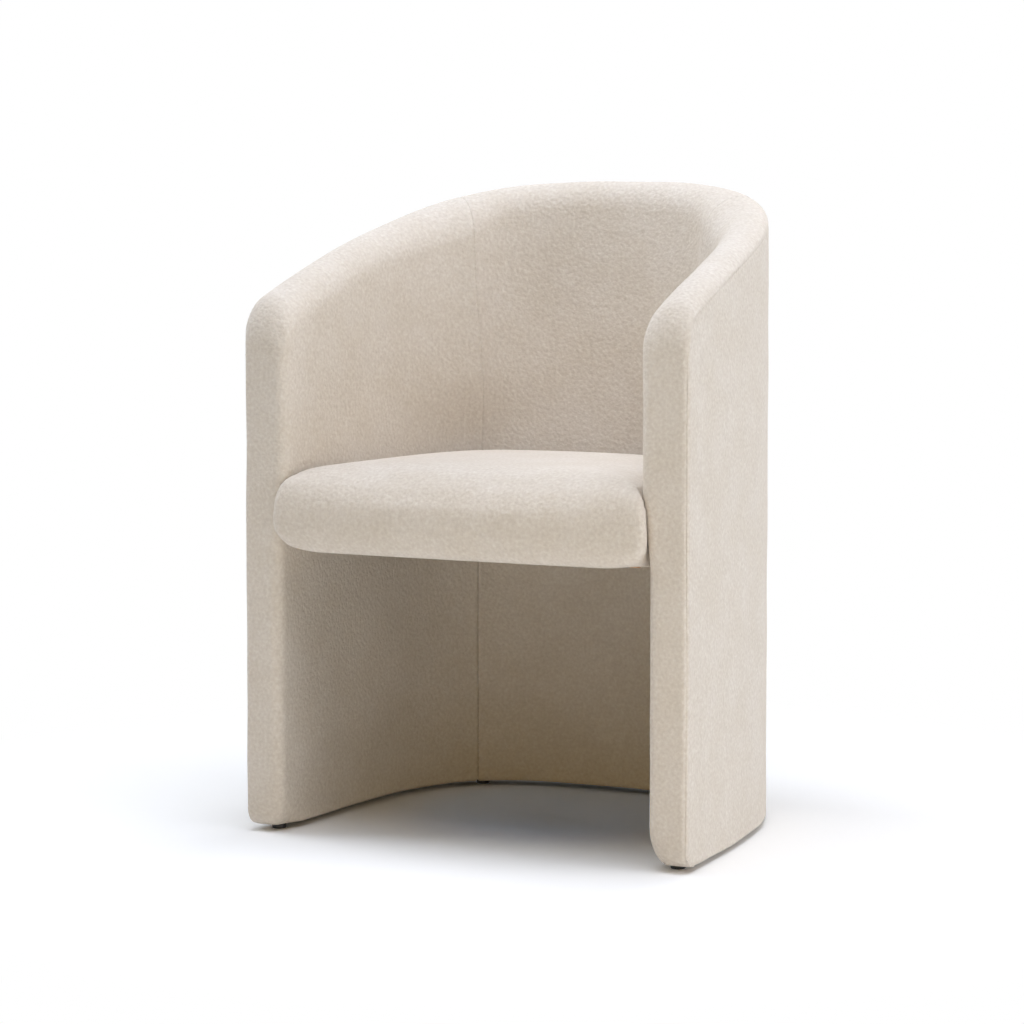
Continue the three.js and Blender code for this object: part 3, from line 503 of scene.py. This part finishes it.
def corner_outline(side, z, tuck):
    """The pad's front corner, blended by tuck from the open form, a turn about the arm's rounded edge and
    then a quarter ellipse, to the tucked one, a quarter circle between the arms."""
    share = np.linspace(0, 1, 29)
    thickness = wall_thickness(HALF_LENGTH - FRONT_ROUND, z)
    turn = np.clip(share / TURN_SHARE, 0, 1) * np.pi / 2
    nose = np.clip(share / NOSE_SHARE - TURN_SHARE / NOSE_SHARE, 0, 1) * np.pi / 2
    radius = FRONT_ROUND + PAD_GAP
    open_d = PAD_END + (thickness + PAD_GAP - PAD_END) * np.cos(turn) + NOSE_CORNER * (1 - np.cos(nose))
    ahead = NOSE_REACH - NOSE_BOW + FRONT_ROUND - radius
    open_w = FRONT_ROUND - radius * np.sin(turn) - ahead * np.sin(nose)
    bend = share * np.pi / 2
    tucked_d = thickness + PAD_GAP + SIDE_TUCK + TUCKED_CORNER * (1 - np.cos(bend))
    tucked_w = NOSE_TUCK - NOSE_REACH + NOSE_BOW + TUCKED_CORNER * (1 - np.sin(bend))
    d = lerp(open_d, tucked_d, end_tuck(z, tuck))
    x, y = plan(side * (HALF_LENGTH - lerp(open_w, tucked_w, tuck)), d)
    return np.stack([x, y], axis=-1)


def pad_outline(z, tuck, squeeze):
    """Closed outline: the wall's side from left to right, a corner, the front, and the other corner."""
    reach = HALF_LENGTH - CORNER_START
    s = np.linspace(-reach, reach, 181)
    near_front = smooth((np.abs(s) - reach + SIDE_FADE) / SIDE_FADE)
    drawn_in = lerp(squeeze, end_tuck(z, tuck), near_front) * SIDE_TUCK
    sides = plan(s, wall_thickness(s, z) + PAD_GAP + drawn_in)
    right, left = corner_outline(1, z, tuck), corner_outline(-1, z, tuck)
    share = np.linspace(1, -1, 81)[1:-1]
    front = np.stack([share * right[-1, 0], right[-1, 1] - NOSE_BOW * (1 - share**2)], axis=-1)
    return np.vstack([np.stack(sides, axis=-1), right, front, left[::-1]])


def smooth_rows(rows, steps):
    """Values between given rows, on a Catmull-Rom curve: each stretch is a cubic through two rows whose
    slopes are half the difference of the rows beside them."""
    padded = np.vstack([2 * rows[0] - rows[1], rows, 2 * rows[-1] - rows[-2]])
    u = np.linspace(0, len(rows) - 1, (len(rows) - 1) * steps + 1)
    i = np.minimum(u.astype(int), len(rows) - 2)
    f = (u - i)[:, None]
    a, b, c, d = padded[i], padded[i + 1], padded[i + 2], padded[i + 3]
    return b + 0.5 * f * (c - a + f * (2 * a - 5 * b + 4 * c - d + f * (3 * (b - c) + d - a)))


print("points in one outline:", len(pad_outline(400.0, 0, 0)))

# %% [markdown]
# The pad starts from rows of these outlines, smoothed from one to the next, slightly smaller than the pad
# is to be. The top rows are drawn in to one point and lifted into a crown, and the underside turns up a
# little towards the two front corners, as the cover pulls it on the real chair.

# %% Start form of the seat pad
# Height, tuck, squeeze and how far the outline is drawn to the middle, from the bottom to the crown
PAD_ROWS = np.array([
    [0.06, 1.30, 1.30, 1.00], [0.04, 1.10, 1.00, 0.50], [0.02, 1.00, 0.85, 0.10], [0.00, 0.95, 0.80, 0.00],
    [0.05, 0.45, 0.25, 0.00], [0.28, 0.00, 0.00, 0.00], [0.64, 0.00, 0.00, 0.00], [0.87, 0.26, 0.10, 0.00],
    [0.98, 0.64, 0.45, 0.00], [1.04, 1.10, 0.95, 0.00], [1.04, 1.15, 1.00, 0.16], [1.04, 1.15, 1.00, 0.42],
    [1.04, 1.15, 1.00, 0.70], [1.04, 1.15, 1.00, 1.00]])
PAD_MIDDLE = np.array([0.0, 115.0 + Y_SHIFT])
CORNER_LIFT, LIFT_FROM, LIFT_TO, LIFT_FADE = 7.0, 190.0, 262.0, 40.0
START_OUT = 0.3

rings = []
for height, tuck, squeeze, draw in smooth_rows(PAD_ROWS, 6):
    z = lerp(SEAT_BOTTOM, SEAT_EDGE, height)
    ring = lerp(pad_outline(z, tuck, squeeze), PAD_MIDDLE, np.clip(draw, 0, 1))
    crown = SEAT_CROWN * (1 - (1 - draw) ** 4) if height > 0.5 else 0
    # The underside turns up a little towards the two front corners
    towards_front = smooth((LIFT_FADE + Y_SHIFT - ring[:, 1]) / LIFT_FADE)
    lift = CORNER_LIFT * smooth((np.abs(ring[:, 0]) - LIFT_FROM) / (LIFT_TO - LIFT_FROM)) * towards_front
    rings.append(np.column_stack([ring, z + crown + lift * smooth(1 - height / 0.35)]))
points = np.stack(rings, axis=1)
points = points + grid_normals(points) * START_OUT
columns, rows = points.shape[:2]
pad = add_grid("seat_pad", points[:, ::-1], closed=True)
print("start form:", columns, "by", rows)

# %% [markdown]
# Foam swells against a tight cover: flat stretches crown and corners pull taut. The pad gets that from a
# short run of cloth pressure on even cells, rather than from rounding by hand. How far a point may move is
# capped, least beside the walls and at the pad's ends, and nothing moves where the cover is stapled below.

# %% Swell the seat pad
VOXEL_MM, PRESSURE, FRAMES = 5.0, 1.0, 20
CAP_BY_WALL, CAP_FREE, WALL_ROOM, ROOM_FADE = 0.8, 3.5, 8.0, 22.0
STAPLED, STAPLED_FADE = 4.0, 30.0


def mesh_points(mesh):
    """Vertex places of a mesh in mm, as rows."""
    flat = np.empty(len(mesh.vertices) * 3, np.float32)
    mesh.vertices.foreach_get("co", flat)
    return flat.reshape(-1, 3).astype(float) / MM


def set_points(mesh, points):
    """Puts vertex places in mm back into a mesh."""
    mesh.vertices.foreach_set("co", (points * MM).astype(np.float32).ravel())
    mesh.update()


def use_modifiers(piece):
    """Replaces a piece's mesh by what its modifiers make of it, and takes them off."""
    made = bpy.data.meshes.new_from_object(piece.evaluated_get(bpy.context.evaluated_depsgraph_get()))
    piece.modifiers.clear()
    piece.data = made


def wall_place(points):
    """Distance |s| along the wall and depth d of points, from the nearest of the curve's table."""
    table = np.arange(0, len(curve), 8)
    plan_x, plan_y = np.abs(points[:, 0]), points[:, 1] - Y_SHIFT
    nearest = table[np.argmin((plan_x[:, None] - curve[table, 0]) ** 2
                              + (plan_y[:, None] - curve[table, 1]) ** 2, axis=1)]
    d = (plan_x - curve[nearest, 0]) * inward[nearest, 0] + (plan_y - curve[nearest, 1]) * inward[nearest, 1]
    return walked[nearest], d


remesh = pad.modifiers.new("even cells", "REMESH")
remesh.mode = "VOXEL"
remesh.voxel_size = VOXEL_MM * MM
use_modifiers(pad)
before = mesh_points(pad.data)
cloth = pad.modifiers.new("cover", "CLOTH")
cloth.settings.effector_weights.gravity = 0
cloth.settings.use_pressure = True
cloth.settings.uniform_pressure_force = PRESSURE
cloth.settings.quality = 5
cloth.collision_settings.use_collision = False
bpy.context.scene.frame_start, bpy.context.scene.frame_end = 1, FRAMES
cloth.point_cache.frame_start, cloth.point_cache.frame_end = 1, FRAMES
for step in range(1, FRAMES + 1):
    bpy.context.scene.frame_set(step)
use_modifiers(pad)
bpy.context.scene.frame_set(1)
after = mesh_points(pad.data)
q, d = wall_place(before)
room = d - wall_thickness(q, before[:, 2])
# In front of the arms the pad's ends keep their place too
room = np.where(q > HALF_LENGTH - 1, LIFT_TO - np.abs(before[:, 0]), room)
cap = lerp(CAP_BY_WALL, CAP_FREE, smooth((room - WALL_ROOM) / ROOM_FADE))
moved = after - before
length = np.linalg.norm(moved, axis=1)
moved *= (cap * np.tanh(length / np.maximum(cap, 1e-9)) / np.maximum(length, 1e-9))[:, None]
moved *= smooth((before[:, 2:] - SEAT_BOTTOM - STAPLED) / STAPLED_FADE)
set_points(pad.data, before + moved)
print("pad points:", len(before), "pushed by", round(float(length.mean()), 2), "mm")
subdivision = pad.modifiers.new("rounder", "SUBSURF")
subdivision.levels = subdivision.render_levels = 1

# %% [markdown]
# Below, the frame is closed off with thin black cloth: one piece under the seat, stapled inside the hem,
# and a strip under the wall. Nobody sees much of either, but the chair is looked at from all sides, and
# these are what hides the timber. The piece under the seat sags a little between its staples.

# %% Black cloths underneath
CLOTH_GAP, CLOTH_SAG, CLOTH_THICKNESS, CLOTH_INSET = 0.3, 2.0, 0.5, 0.075
SEAT_CLOTH_HEIGHT, BASE_CLOTH_HEIGHT = 358.6, 7.4


hem = pad_outline(SEAT_BOTTOM, PAD_ROWS[3, 1], PAD_ROWS[3, 2])
share = np.linspace(0, 0.98, 24)
inner_edge = lerp(hem, PAD_MIDDLE, CLOTH_INSET)
cloth_plan = lerp(inner_edge[:, None], PAD_MIDDLE, share[None, :, None])
height = SEAT_CLOTH_HEIGHT - CLOTH_SAG * (1 - (1 - share) ** 2)
points = np.dstack([cloth_plan, np.broadcast_to(height, cloth_plan.shape[:2])])
seat_cloth = add_grid("seat_dust_sheet", points[:, ::-1], closed=True)

GLIDE_SET_BACK, GLIDE_RADIUS = 39.0, 9.3
reach = HALF_LENGTH - GLIDE_SET_BACK - GLIDE_RADIUS
s = np.linspace(-reach, reach, 201)[:, None]
d = np.linspace(HEM_WIDTH + CLOTH_GAP, LOWER_WALL - HEM_WIDTH - CLOTH_GAP, 5)
x, y = plan(s, d)
points = np.stack([x, y, np.full(x.shape, BASE_CLOTH_HEIGHT)], axis=-1)
base_cloth = add_grid("base_cloth_sheet", points)
for piece in (seat_cloth, base_cloth):
    thicken(piece, CLOTH_THICKNESS)

# %% [markdown]
# Each glide is a small moulded disc that is turned about an upright axis. Its profile is a closed line: up
# the bore, over the top, down the rounded rim, across the sole and up into the recess for the screw.

# %% Glides
RIM_CURVE = 1.2
GLIDE_BORE, GLIDE_TOP, SCREW_SINK = 2.3, 5.7, 4.3
bend = np.linspace(0, np.pi / 2, 6)
sole = np.column_stack([GLIDE_RADIUS - 0.3 - RIM_CURVE + RIM_CURVE * np.cos(bend),
                        RIM_CURVE - RIM_CURVE * np.sin(bend)])
profile = np.vstack([[[GLIDE_BORE, 3.9], [GLIDE_BORE, GLIDE_TOP - 0.2], [GLIDE_BORE + 0.2, GLIDE_TOP],
                      [GLIDE_RADIUS - 0.3, GLIDE_TOP], [GLIDE_RADIUS, GLIDE_TOP - 0.3]],
                     sole, [[SCREW_SINK + 0.2, 0], [SCREW_SINK, 0.2], [SCREW_SINK, 1.5]]])
angle = np.linspace(0, 2 * np.pi, 48, endpoint=False)[:, None]
glides = {}
for node in ("glide_front_left", "glide_back_left", "glide_front_right", "glide_back_right"):
    low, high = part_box(node)
    middle = [(low[i] + high[i]) / 2 / MM for i in range(2)]
    ring = np.vstack([profile, profile[:1]])
    points = np.stack([middle[0] + ring[:, 0] * np.cos(angle), middle[1] + ring[:, 0] * np.sin(angle),
                       ring[:, 1] + 0 * angle], axis=-1)
    glides[node] = add_grid(node.replace("glide", "moulded_glide"), points[:, ::-1], closed=True)
    merge = glides[node].modifiers.new("close the ring", "WELD")
    merge.merge_threshold = 0.00001
print("glides:", len(glides), "with", len(profile), "profile points")

# %% [markdown]
# Now the finishes. The cover is a wool bouclé-like weave: short looped yarns in slightly different creams,
# so that from a chair's distance the cloth looks speckled and a little bumpy, with no shine. All patterns
# use Object coordinates in metres, because every piece sits at the origin, so the weave's scale is the same
# on all of them and needs no unwrapping. One helper turns sRGB hex to linear, another adds a node.

# %% Material helpers
def linear(hex_colour):
    """sRGB hex to linear: (c / 12.92) near black, else ((c + 0.055) / 1.055) to the power 2.4."""
    values = [int(hex_colour[i:i + 2], 16) / 255 for i in (1, 3, 5)]
    return [v / 12.92 if v <= 0.04045 else ((v + 0.055) / 1.055) ** 2.4 for v in values] + [1.0]


def add_node(tree, kind, links=None, settings=None, **values):
    """Adds a node, sets its attributes and socket values, and links sockets to (node, output) pairs."""
    node = tree.nodes.new(kind)
    for key, value in (settings or {}).items():
        setattr(node, key, value)
    for key, value in values.items():
        node.inputs[key.replace("_", " ")].default_value = value
    for key, (source, output) in (links or {}).items():
        tree.links.new(source.outputs[output], node.inputs[key])
    return node


def new_material(name):
    """A material with an empty Principled shader and the places of the object's points."""
    material = bpy.data.materials.new(name)
    material.use_nodes = True
    tree = material.node_tree
    tree.nodes.clear()
    shader = add_node(tree, "ShaderNodeBsdfPrincipled")
    add_node(tree, "ShaderNodeOutputMaterial", {"Surface": (shader, "BSDF")})
    places = add_node(tree, "ShaderNodeTexCoord")
    return material, tree, shader, places


def stops(node, pairs):
    """Sets a colour ramp's stops from (position, hex) pairs."""
    ramp = node.color_ramp
    while len(ramp.elements) < len(pairs):
        ramp.elements.new(0.5)
    for element, (position, colour) in zip(ramp.elements, pairs):
        element.position = position
        element.color = linear(colour)
    return node


def per_mm(size):
    """Noise scale for features of a size in mm."""
    return 1 / (size * MM)


print("cream yarn, linear:", [round(v, 3) for v in linear("#DDD4C9")])

# %% [markdown]
# The cover, wool bouclé: a dry, matt surface of small loops. What the eye gets is an even, fine pebbling
# that shows where light grazes it and nearly goes where light falls straight on it, a very low speckle of
# creams, and a pale fuzz at the edges. Real loops are 1.5 to 3 mm; they are drawn at 4.8 mm, to show.

# %% Cover material
LOOP_MM, FLECK_MM, FIBRE_MM, PATCH_MM = 4.8, 4.2, 1.8, 60.0
cover_material, tree, shader, places = new_material("wool_boucle_cream")
loops = add_node(tree, "ShaderNodeTexNoise", {"Vector": (places, "Object")}, Scale=per_mm(LOOP_MM),
                 Detail=1.0, Roughness=0.45)
flecks = add_node(tree, "ShaderNodeTexNoise", {"Vector": (places, "Object")}, Scale=per_mm(FLECK_MM),
                  Detail=1.0, Roughness=0.5)
fibres = add_node(tree, "ShaderNodeTexNoise", {"Vector": (places, "Object")}, Scale=per_mm(FIBRE_MM),
                  Detail=1.0)
patches = add_node(tree, "ShaderNodeTexNoise", {"Vector": (places, "Object")}, Scale=per_mm(PATCH_MM),
                   Detail=2.0)
yarn = stops(add_node(tree, "ShaderNodeValToRGB", {"Fac": (flecks, "Fac")}),
             [(0.25, "#D9D0C4"), (0.45, "#DFD6CB"), (0.60, "#E3DBD0"), (0.78, "#E9E2D8")])
patch_tone = stops(add_node(tree, "ShaderNodeValToRGB", {"Fac": (patches, "Fac")}),
                   [(0.35, "#FBFAF8"), (0.65, "#FFFFFF")])
toned = add_node(tree, "ShaderNodeMix", {6: (yarn, "Color"), 7: (patch_tone, "Color")},
                 {"data_type": "RGBA", "blend_type": "MULTIPLY"}, Factor=1.0)
tree.links.new(toned.outputs[2], shader.inputs["Base Color"])
bumps = add_node(tree, "ShaderNodeBump", {"Height": (loops, "Fac")}, Strength=0.8, Distance=0.0014)
fuzz = add_node(tree, "ShaderNodeBump", {"Height": (fibres, "Fac"), "Normal": (bumps, "Normal")},
                Strength=0.25, Distance=0.0004)
tree.links.new(fuzz.outputs["Normal"], shader.inputs["Normal"])
shader.inputs["Roughness"].default_value = 0.95
shader.inputs["Specular IOR Level"].default_value = 0.2
shader.inputs["Sheen Weight"].default_value = 0.04
shader.inputs["Sheen Roughness"].default_value = 0.5
shader.inputs["Sheen Tint"].default_value = linear("#F2ECE4")
print("cover nodes:", len(tree.nodes))

# %% [markdown]
# The black cloth is spun-bonded polypropylene, a thin felt pressed in small dots: the eye gets a flat dark
# grey with hardly any shine. The glides are moulded nylon, nearly black, with the slight grain of the mould
# and a soft, low shine.

# %% Cloth and glide materials
cloth_material, tree, shader, places = new_material("black_spunbond_cloth")
felt = add_node(tree, "ShaderNodeTexNoise", {"Vector": (places, "Object")}, Scale=per_mm(2.0), Detail=4.0)
dots = add_node(tree, "ShaderNodeTexVoronoi", {"Vector": (places, "Object")}, Scale=per_mm(2.5),
                Randomness=0.15)
tone = stops(add_node(tree, "ShaderNodeValToRGB", {"Fac": (felt, "Fac")}),
             [(0.3, "#17171A"), (0.7, "#2A2A2D")])
tree.links.new(tone.outputs["Color"], shader.inputs["Base Color"])
pressed = add_node(tree, "ShaderNodeBump", {"Height": (dots, "Distance")}, Strength=0.5, Distance=0.0003)
tree.links.new(pressed.outputs["Normal"], shader.inputs["Normal"])
shader.inputs["Roughness"].default_value = 0.85

glide_material, tree, shader, places = new_material("black_moulded_nylon")
grain = add_node(tree, "ShaderNodeTexNoise", {"Vector": (places, "Object")}, Scale=per_mm(0.6), Detail=3.0)
tone = stops(add_node(tree, "ShaderNodeValToRGB", {"Fac": (grain, "Fac")}),
             [(0.3, "#121213"), (0.7, "#1B1B1D")])
tree.links.new(tone.outputs["Color"], shader.inputs["Base Color"])
rough = add_node(tree, "ShaderNodeMapRange", {"Value": (grain, "Fac")}, To_Min=0.38, To_Max=0.55)
tree.links.new(rough.outputs["Result"], shader.inputs["Roughness"])
mould = add_node(tree, "ShaderNodeBump", {"Height": (grain, "Fac")}, Strength=0.15, Distance=0.0002)
tree.links.new(mould.outputs["Normal"], shader.inputs["Normal"])
print("materials so far:", [m.name for m in bpy.data.materials if m.use_nodes][-3:])

# %% [markdown]
# The inside of the chair is packed as solids and never shows, but it is real: planed beech with fine long
# grain, a plywood deck, thin hardboard, yellow foam with open cells and zinc-plated steel. Wood grain is a
# noise stretched along the rail, so each timber gets the same treatment as the cloth, at its own scale. The
# wood and foam are matt and warm to the eye; the zinc is the one bright metal, mottled by its crystals.

# %% Inside materials
def wood_material(name, colours, stretch, grain_mm, roughness):
    """Bare wood: one noise, drawn out along the grain, gives the figure's tones and its shallow pores."""
    material, tree, shader, places = new_material(name)
    along_grain = add_node(tree, "ShaderNodeMapping", {"Vector": (places, "Object")}, Scale=stretch)
    figure = add_node(tree, "ShaderNodeTexNoise", {"Vector": (along_grain, "Vector")}, Scale=per_mm(grain_mm),
                      Detail=5.0)
    tone = stops(add_node(tree, "ShaderNodeValToRGB", {"Fac": (figure, "Fac")}), colours)
    tree.links.new(tone.outputs["Color"], shader.inputs["Base Color"])
    pores = add_node(tree, "ShaderNodeBump", {"Height": (figure, "Fac")}, Strength=0.25, Distance=0.0003)
    tree.links.new(pores.outputs["Normal"], shader.inputs["Normal"])
    shader.inputs["Roughness"].default_value = roughness
    return material


inside = {
    "beech": wood_material("planed_beech", [(0.3, "#B98A5E"), (0.5, "#CFA077"), (0.7, "#DDB48C")],
                           (1, 1, 0.08), 5.0, 0.6),
    "plywood": wood_material("birch_plywood", [(0.3, "#C9A877"), (0.55, "#D8BC8F"), (0.75, "#E2CAA2")],
                             (0.08, 1, 1), 6.0, 0.65),
    "hardboard": wood_material("brown_hardboard", [(0.3, "#5F4630"), (0.6, "#7A5C40"), (0.8, "#8C6C4D")],
                               (1, 1, 1), 1.6, 0.8),
}

foam_material, tree, shader, places = new_material("open_cell_foam")
cells = add_node(tree, "ShaderNodeTexVoronoi", {"Vector": (places, "Object")}, Scale=per_mm(1.6))
tone = stops(add_node(tree, "ShaderNodeValToRGB", {"Fac": (cells, "Distance")}),
             [(0.1, "#CDBB82"), (0.6, "#EADBA6")])
tree.links.new(tone.outputs["Color"], shader.inputs["Base Color"])
pits = add_node(tree, "ShaderNodeBump", {"Height": (cells, "Distance")}, Strength=0.6, Distance=0.0005)
tree.links.new(pits.outputs["Normal"], shader.inputs["Normal"])
shader.inputs["Roughness"].default_value = 0.95
inside["foam"] = foam_material

zinc_material, tree, shader, places = new_material("zinc_plated_steel")
crystals = add_node(tree, "ShaderNodeTexNoise", {"Vector": (places, "Object")}, Scale=per_mm(1.2), Detail=4.0)
tone = stops(add_node(tree, "ShaderNodeValToRGB", {"Fac": (crystals, "Fac")}),
             [(0.3, "#B9BCC0"), (0.7, "#D2D4D6")])
tree.links.new(tone.outputs["Color"], shader.inputs["Base Color"])
rough = add_node(tree, "ShaderNodeMapRange", {"Value": (crystals, "Fac")}, To_Min=0.28, To_Max=0.45)
tree.links.new(rough.outputs["Result"], shader.inputs["Roughness"])
shader.inputs["Metallic"].default_value = 1.0
inside["zinc_steel"] = zinc_material
print("inside finishes:", sorted(inside))

# %% [markdown]
# Every new piece now takes the place of a solid: it gets that solid's finish by the slot the record gives it,
# rides on the chair's one body, and the solid is hidden. Solids that stay get their finish by the slot that
# the record gives them.

# %% Put the pieces on the frame
stands_for = {
    panels["left"]: "inner_cover_left", panels["right"]: "inner_cover_right",
    panels["back"]: "inner_cover_back", panels["outer"]: "outer_cover", pad: "seat_cover",
    seat_cloth: "seat_dust_cloth", base_cloth: "base_cloth",
    **{foam: f"wall_foam_{name}" for name, foam in foams.items()},
    **{glide: node for node, glide in glides.items()},
}
slot_of = {part["node"]: part["material_slot"] for part in frame["record"]["subparts"]}
finish_of = {"cream_fabric": cover_material, "black_cloth": cloth_material,
             "black_plastic": glide_material, **inside}
for piece, node in stands_for.items():
    piece.data.materials.clear()
    piece.data.materials.append(finish_of[slot_of[node]])
    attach(piece, "root")
    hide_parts(node)
# The pad is closed and full, so it stands for its foam too
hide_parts("seat_foam")
replaced = {*stands_for.values(), "seat_foam"}
for name, solid in nodes.items():
    if name not in replaced:
        for material_slot in solid.material_slots:
            material_slot.material = finish_of[slot_of[name]]
print("pieces:", len(stands_for), "solids that stay:", len(nodes) - len(replaced))

# %% [markdown]
# The floor is plain white. To the camera it is drawn a little brighter than white paper, and further out it
# turns into pure white, so the chair stands on nothing but its own shadow, as in the photograph. Under the
# chair it is drawn cooler, because the photograph's shadow is a neutral grey, without the cream glow that
# the walls give it. For light that bounces off it, it is ordinary pale paint.

# %% Floor and background
FLOOR_HALF, WHITE_FROM, WHITE_TO = 12.0, 0.38, 1.0
WELL_MIDDLE, WELL_FROM, WELL_TO = (0, 0.08, 0), 0.13, 0.27
BOUNCED_TINT, WELL_TINT, OUTSIDE_TINT = linear("#F7F7F7"), (0.94, 1.09, 1.38, 1), (1.08, 1.08, 1.07, 1)


def camera_or_glossy(tree):
    """1 for a ray that comes from the camera or a reflection, 0 for one that only carries light."""
    rays = add_node(tree, "ShaderNodeLightPath")
    return add_node(tree, "ShaderNodeMath", {0: (rays, "Is Camera Ray"), 1: (rays, "Is Glossy Ray")},
                    {"operation": "MAXIMUM"})


corners = np.array([[-1, -1, 0], [1, -1, 0], [1, 1, 0], [-1, 1, 0]]) * FLOOR_HALF / MM
floor = add_mesh("floor", corners, [(0, 1, 2, 3)])
floor_material, tree, shader, places = new_material("white_studio_floor")
shader.inputs["Roughness"].default_value = 0.9
shader.inputs["Specular IOR Level"].default_value = 0.0
seen = camera_or_glossy(tree)
distance = add_node(tree, "ShaderNodeVectorMath", {0: (places, "Object")}, {"operation": "LENGTH"})
from_well = add_node(tree, "ShaderNodeVectorMath", {0: (places, "Object")}, {"operation": "DISTANCE"})
from_well.inputs[1].default_value = WELL_MIDDLE
outside = add_node(tree, "ShaderNodeMapRange", {"Value": (from_well, "Value")},
                   {"interpolation_type": "SMOOTHSTEP"}, From_Min=WELL_FROM, From_Max=WELL_TO)
seen_tint = add_node(tree, "ShaderNodeMix", {0: (outside, 0)}, {"data_type": "RGBA"})
seen_tint.inputs[6].default_value = WELL_TINT
seen_tint.inputs[7].default_value = OUTSIDE_TINT
tint = add_node(tree, "ShaderNodeMix", {0: (seen, 0), 7: (seen_tint, 2)}, {"data_type": "RGBA"})
tint.inputs[6].default_value = BOUNCED_TINT
tree.links.new(tint.outputs[2], shader.inputs["Base Color"])
fade = add_node(tree, "ShaderNodeMapRange", {"Value": (distance, "Value")},
                {"interpolation_type": "SMOOTHSTEP"}, From_Min=WHITE_FROM, From_Max=WHITE_TO)
fade_seen = add_node(tree, "ShaderNodeMath", {0: (fade, 0), 1: (seen, 0)}, {"operation": "MULTIPLY"})
white = add_node(tree, "ShaderNodeEmission", Strength=1.0)
mixed = add_node(tree, "ShaderNodeMixShader", {0: (fade_seen, 0), 1: (shader, 0), 2: (white, 0)})
output = next(node for node in tree.nodes if node.type == "OUTPUT_MATERIAL")
tree.links.new(mixed.outputs[0], output.inputs["Surface"])
floor.data.materials.append(floor_material)

AMBIENT = 0.01
world = bpy.data.worlds.new("studio")
world.use_nodes = True
bpy.context.scene.world = world
tree = world.node_tree
tree.nodes.clear()
seen = camera_or_glossy(tree)
strength = add_node(tree, "ShaderNodeMapRange", {"Value": (seen, 0)}, To_Min=AMBIENT, To_Max=1.0)
sky = add_node(tree, "ShaderNodeBackground", {"Strength": (strength, 0)}, Color=(1, 1, 1, 1))
add_node(tree, "ShaderNodeOutputWorld", {"Surface": (sky, 0)})
print("floor:", FLOOR_HALF * 2, "m wide, ambient", AMBIENT)

# %% [markdown]
# The light comes from a large softbox overhead and two on either side, which is why the seat, the rim and
# the outer side are palest and the arm fronts are darker. A low warm card in front of the chair and one
# that lies flat lift the well under the seat, as light off a bright floor does, and a weak lamp behind
# shows the back in other views. The overhead box is a touch cool and the card is warm, as in the photograph.

# %% Lights
def softbox(name, place, size, power, tint=(1, 1, 1), aim=(0, 0, 0.4)):
    """A square area light at a place in metres, facing its aim: by default the chair's middle."""
    data = bpy.data.lights.new(name, "AREA")
    data.shape = "SQUARE"
    data.size = size
    data.energy = power
    data.color = tint
    lamp = bpy.data.objects.new(name, data)
    lamp.location = place
    lamp.rotation_euler = (Vector(aim) - Vector(place)).to_track_quat("-Z", "Y").to_euler()
    lamp.visible_camera = False
    bpy.context.scene.collection.objects.link(lamp)
    return lamp


lamps = [
    softbox("overhead", (0.3, -0.3, 3.0), 2.4, 73, (0.97, 1.0, 1.09)),
    softbox("right_low", (3.2, 0.2, 0.8), 2.0, 37, (0.99, 1.0, 1.04)),
    softbox("right_high", (3.2, 0.4, 1.6), 2.0, 4),
    softbox("left", (-3.0, -0.4, 1.6), 2.0, 27, (0.94, 1.0, 1.07)),
    softbox("left_high", (-2.4, -0.3, 2.4), 1.6, 17, (0.95, 1.0, 1.08)),
    softbox("front_right", (2.8, -1.8, 0.6), 1.2, 7.5, (1.1, 1.0, 0.8)),
    softbox("low_card", (0.3, -1.5, 0.06), 0.9, 3.5, (1.4, 1.0, 0.4)),
    softbox("floor_card", (0.3, -1.5, 0.02), 1.2, 3.6, (0.85, 1.0, 1.15), aim=(0.3, -1.5, 3.0)),
    softbox("behind", (0.6, 3.0, 1.5), 2.0, 25),
]
print("lamps:", [(lamp.name, lamp.data.energy) for lamp in lamps])

# %% [markdown]
# The view transform is Standard, so colours come out as they are written.

# %% Finish
bpy.context.scene.view_settings.view_transform = "Standard"
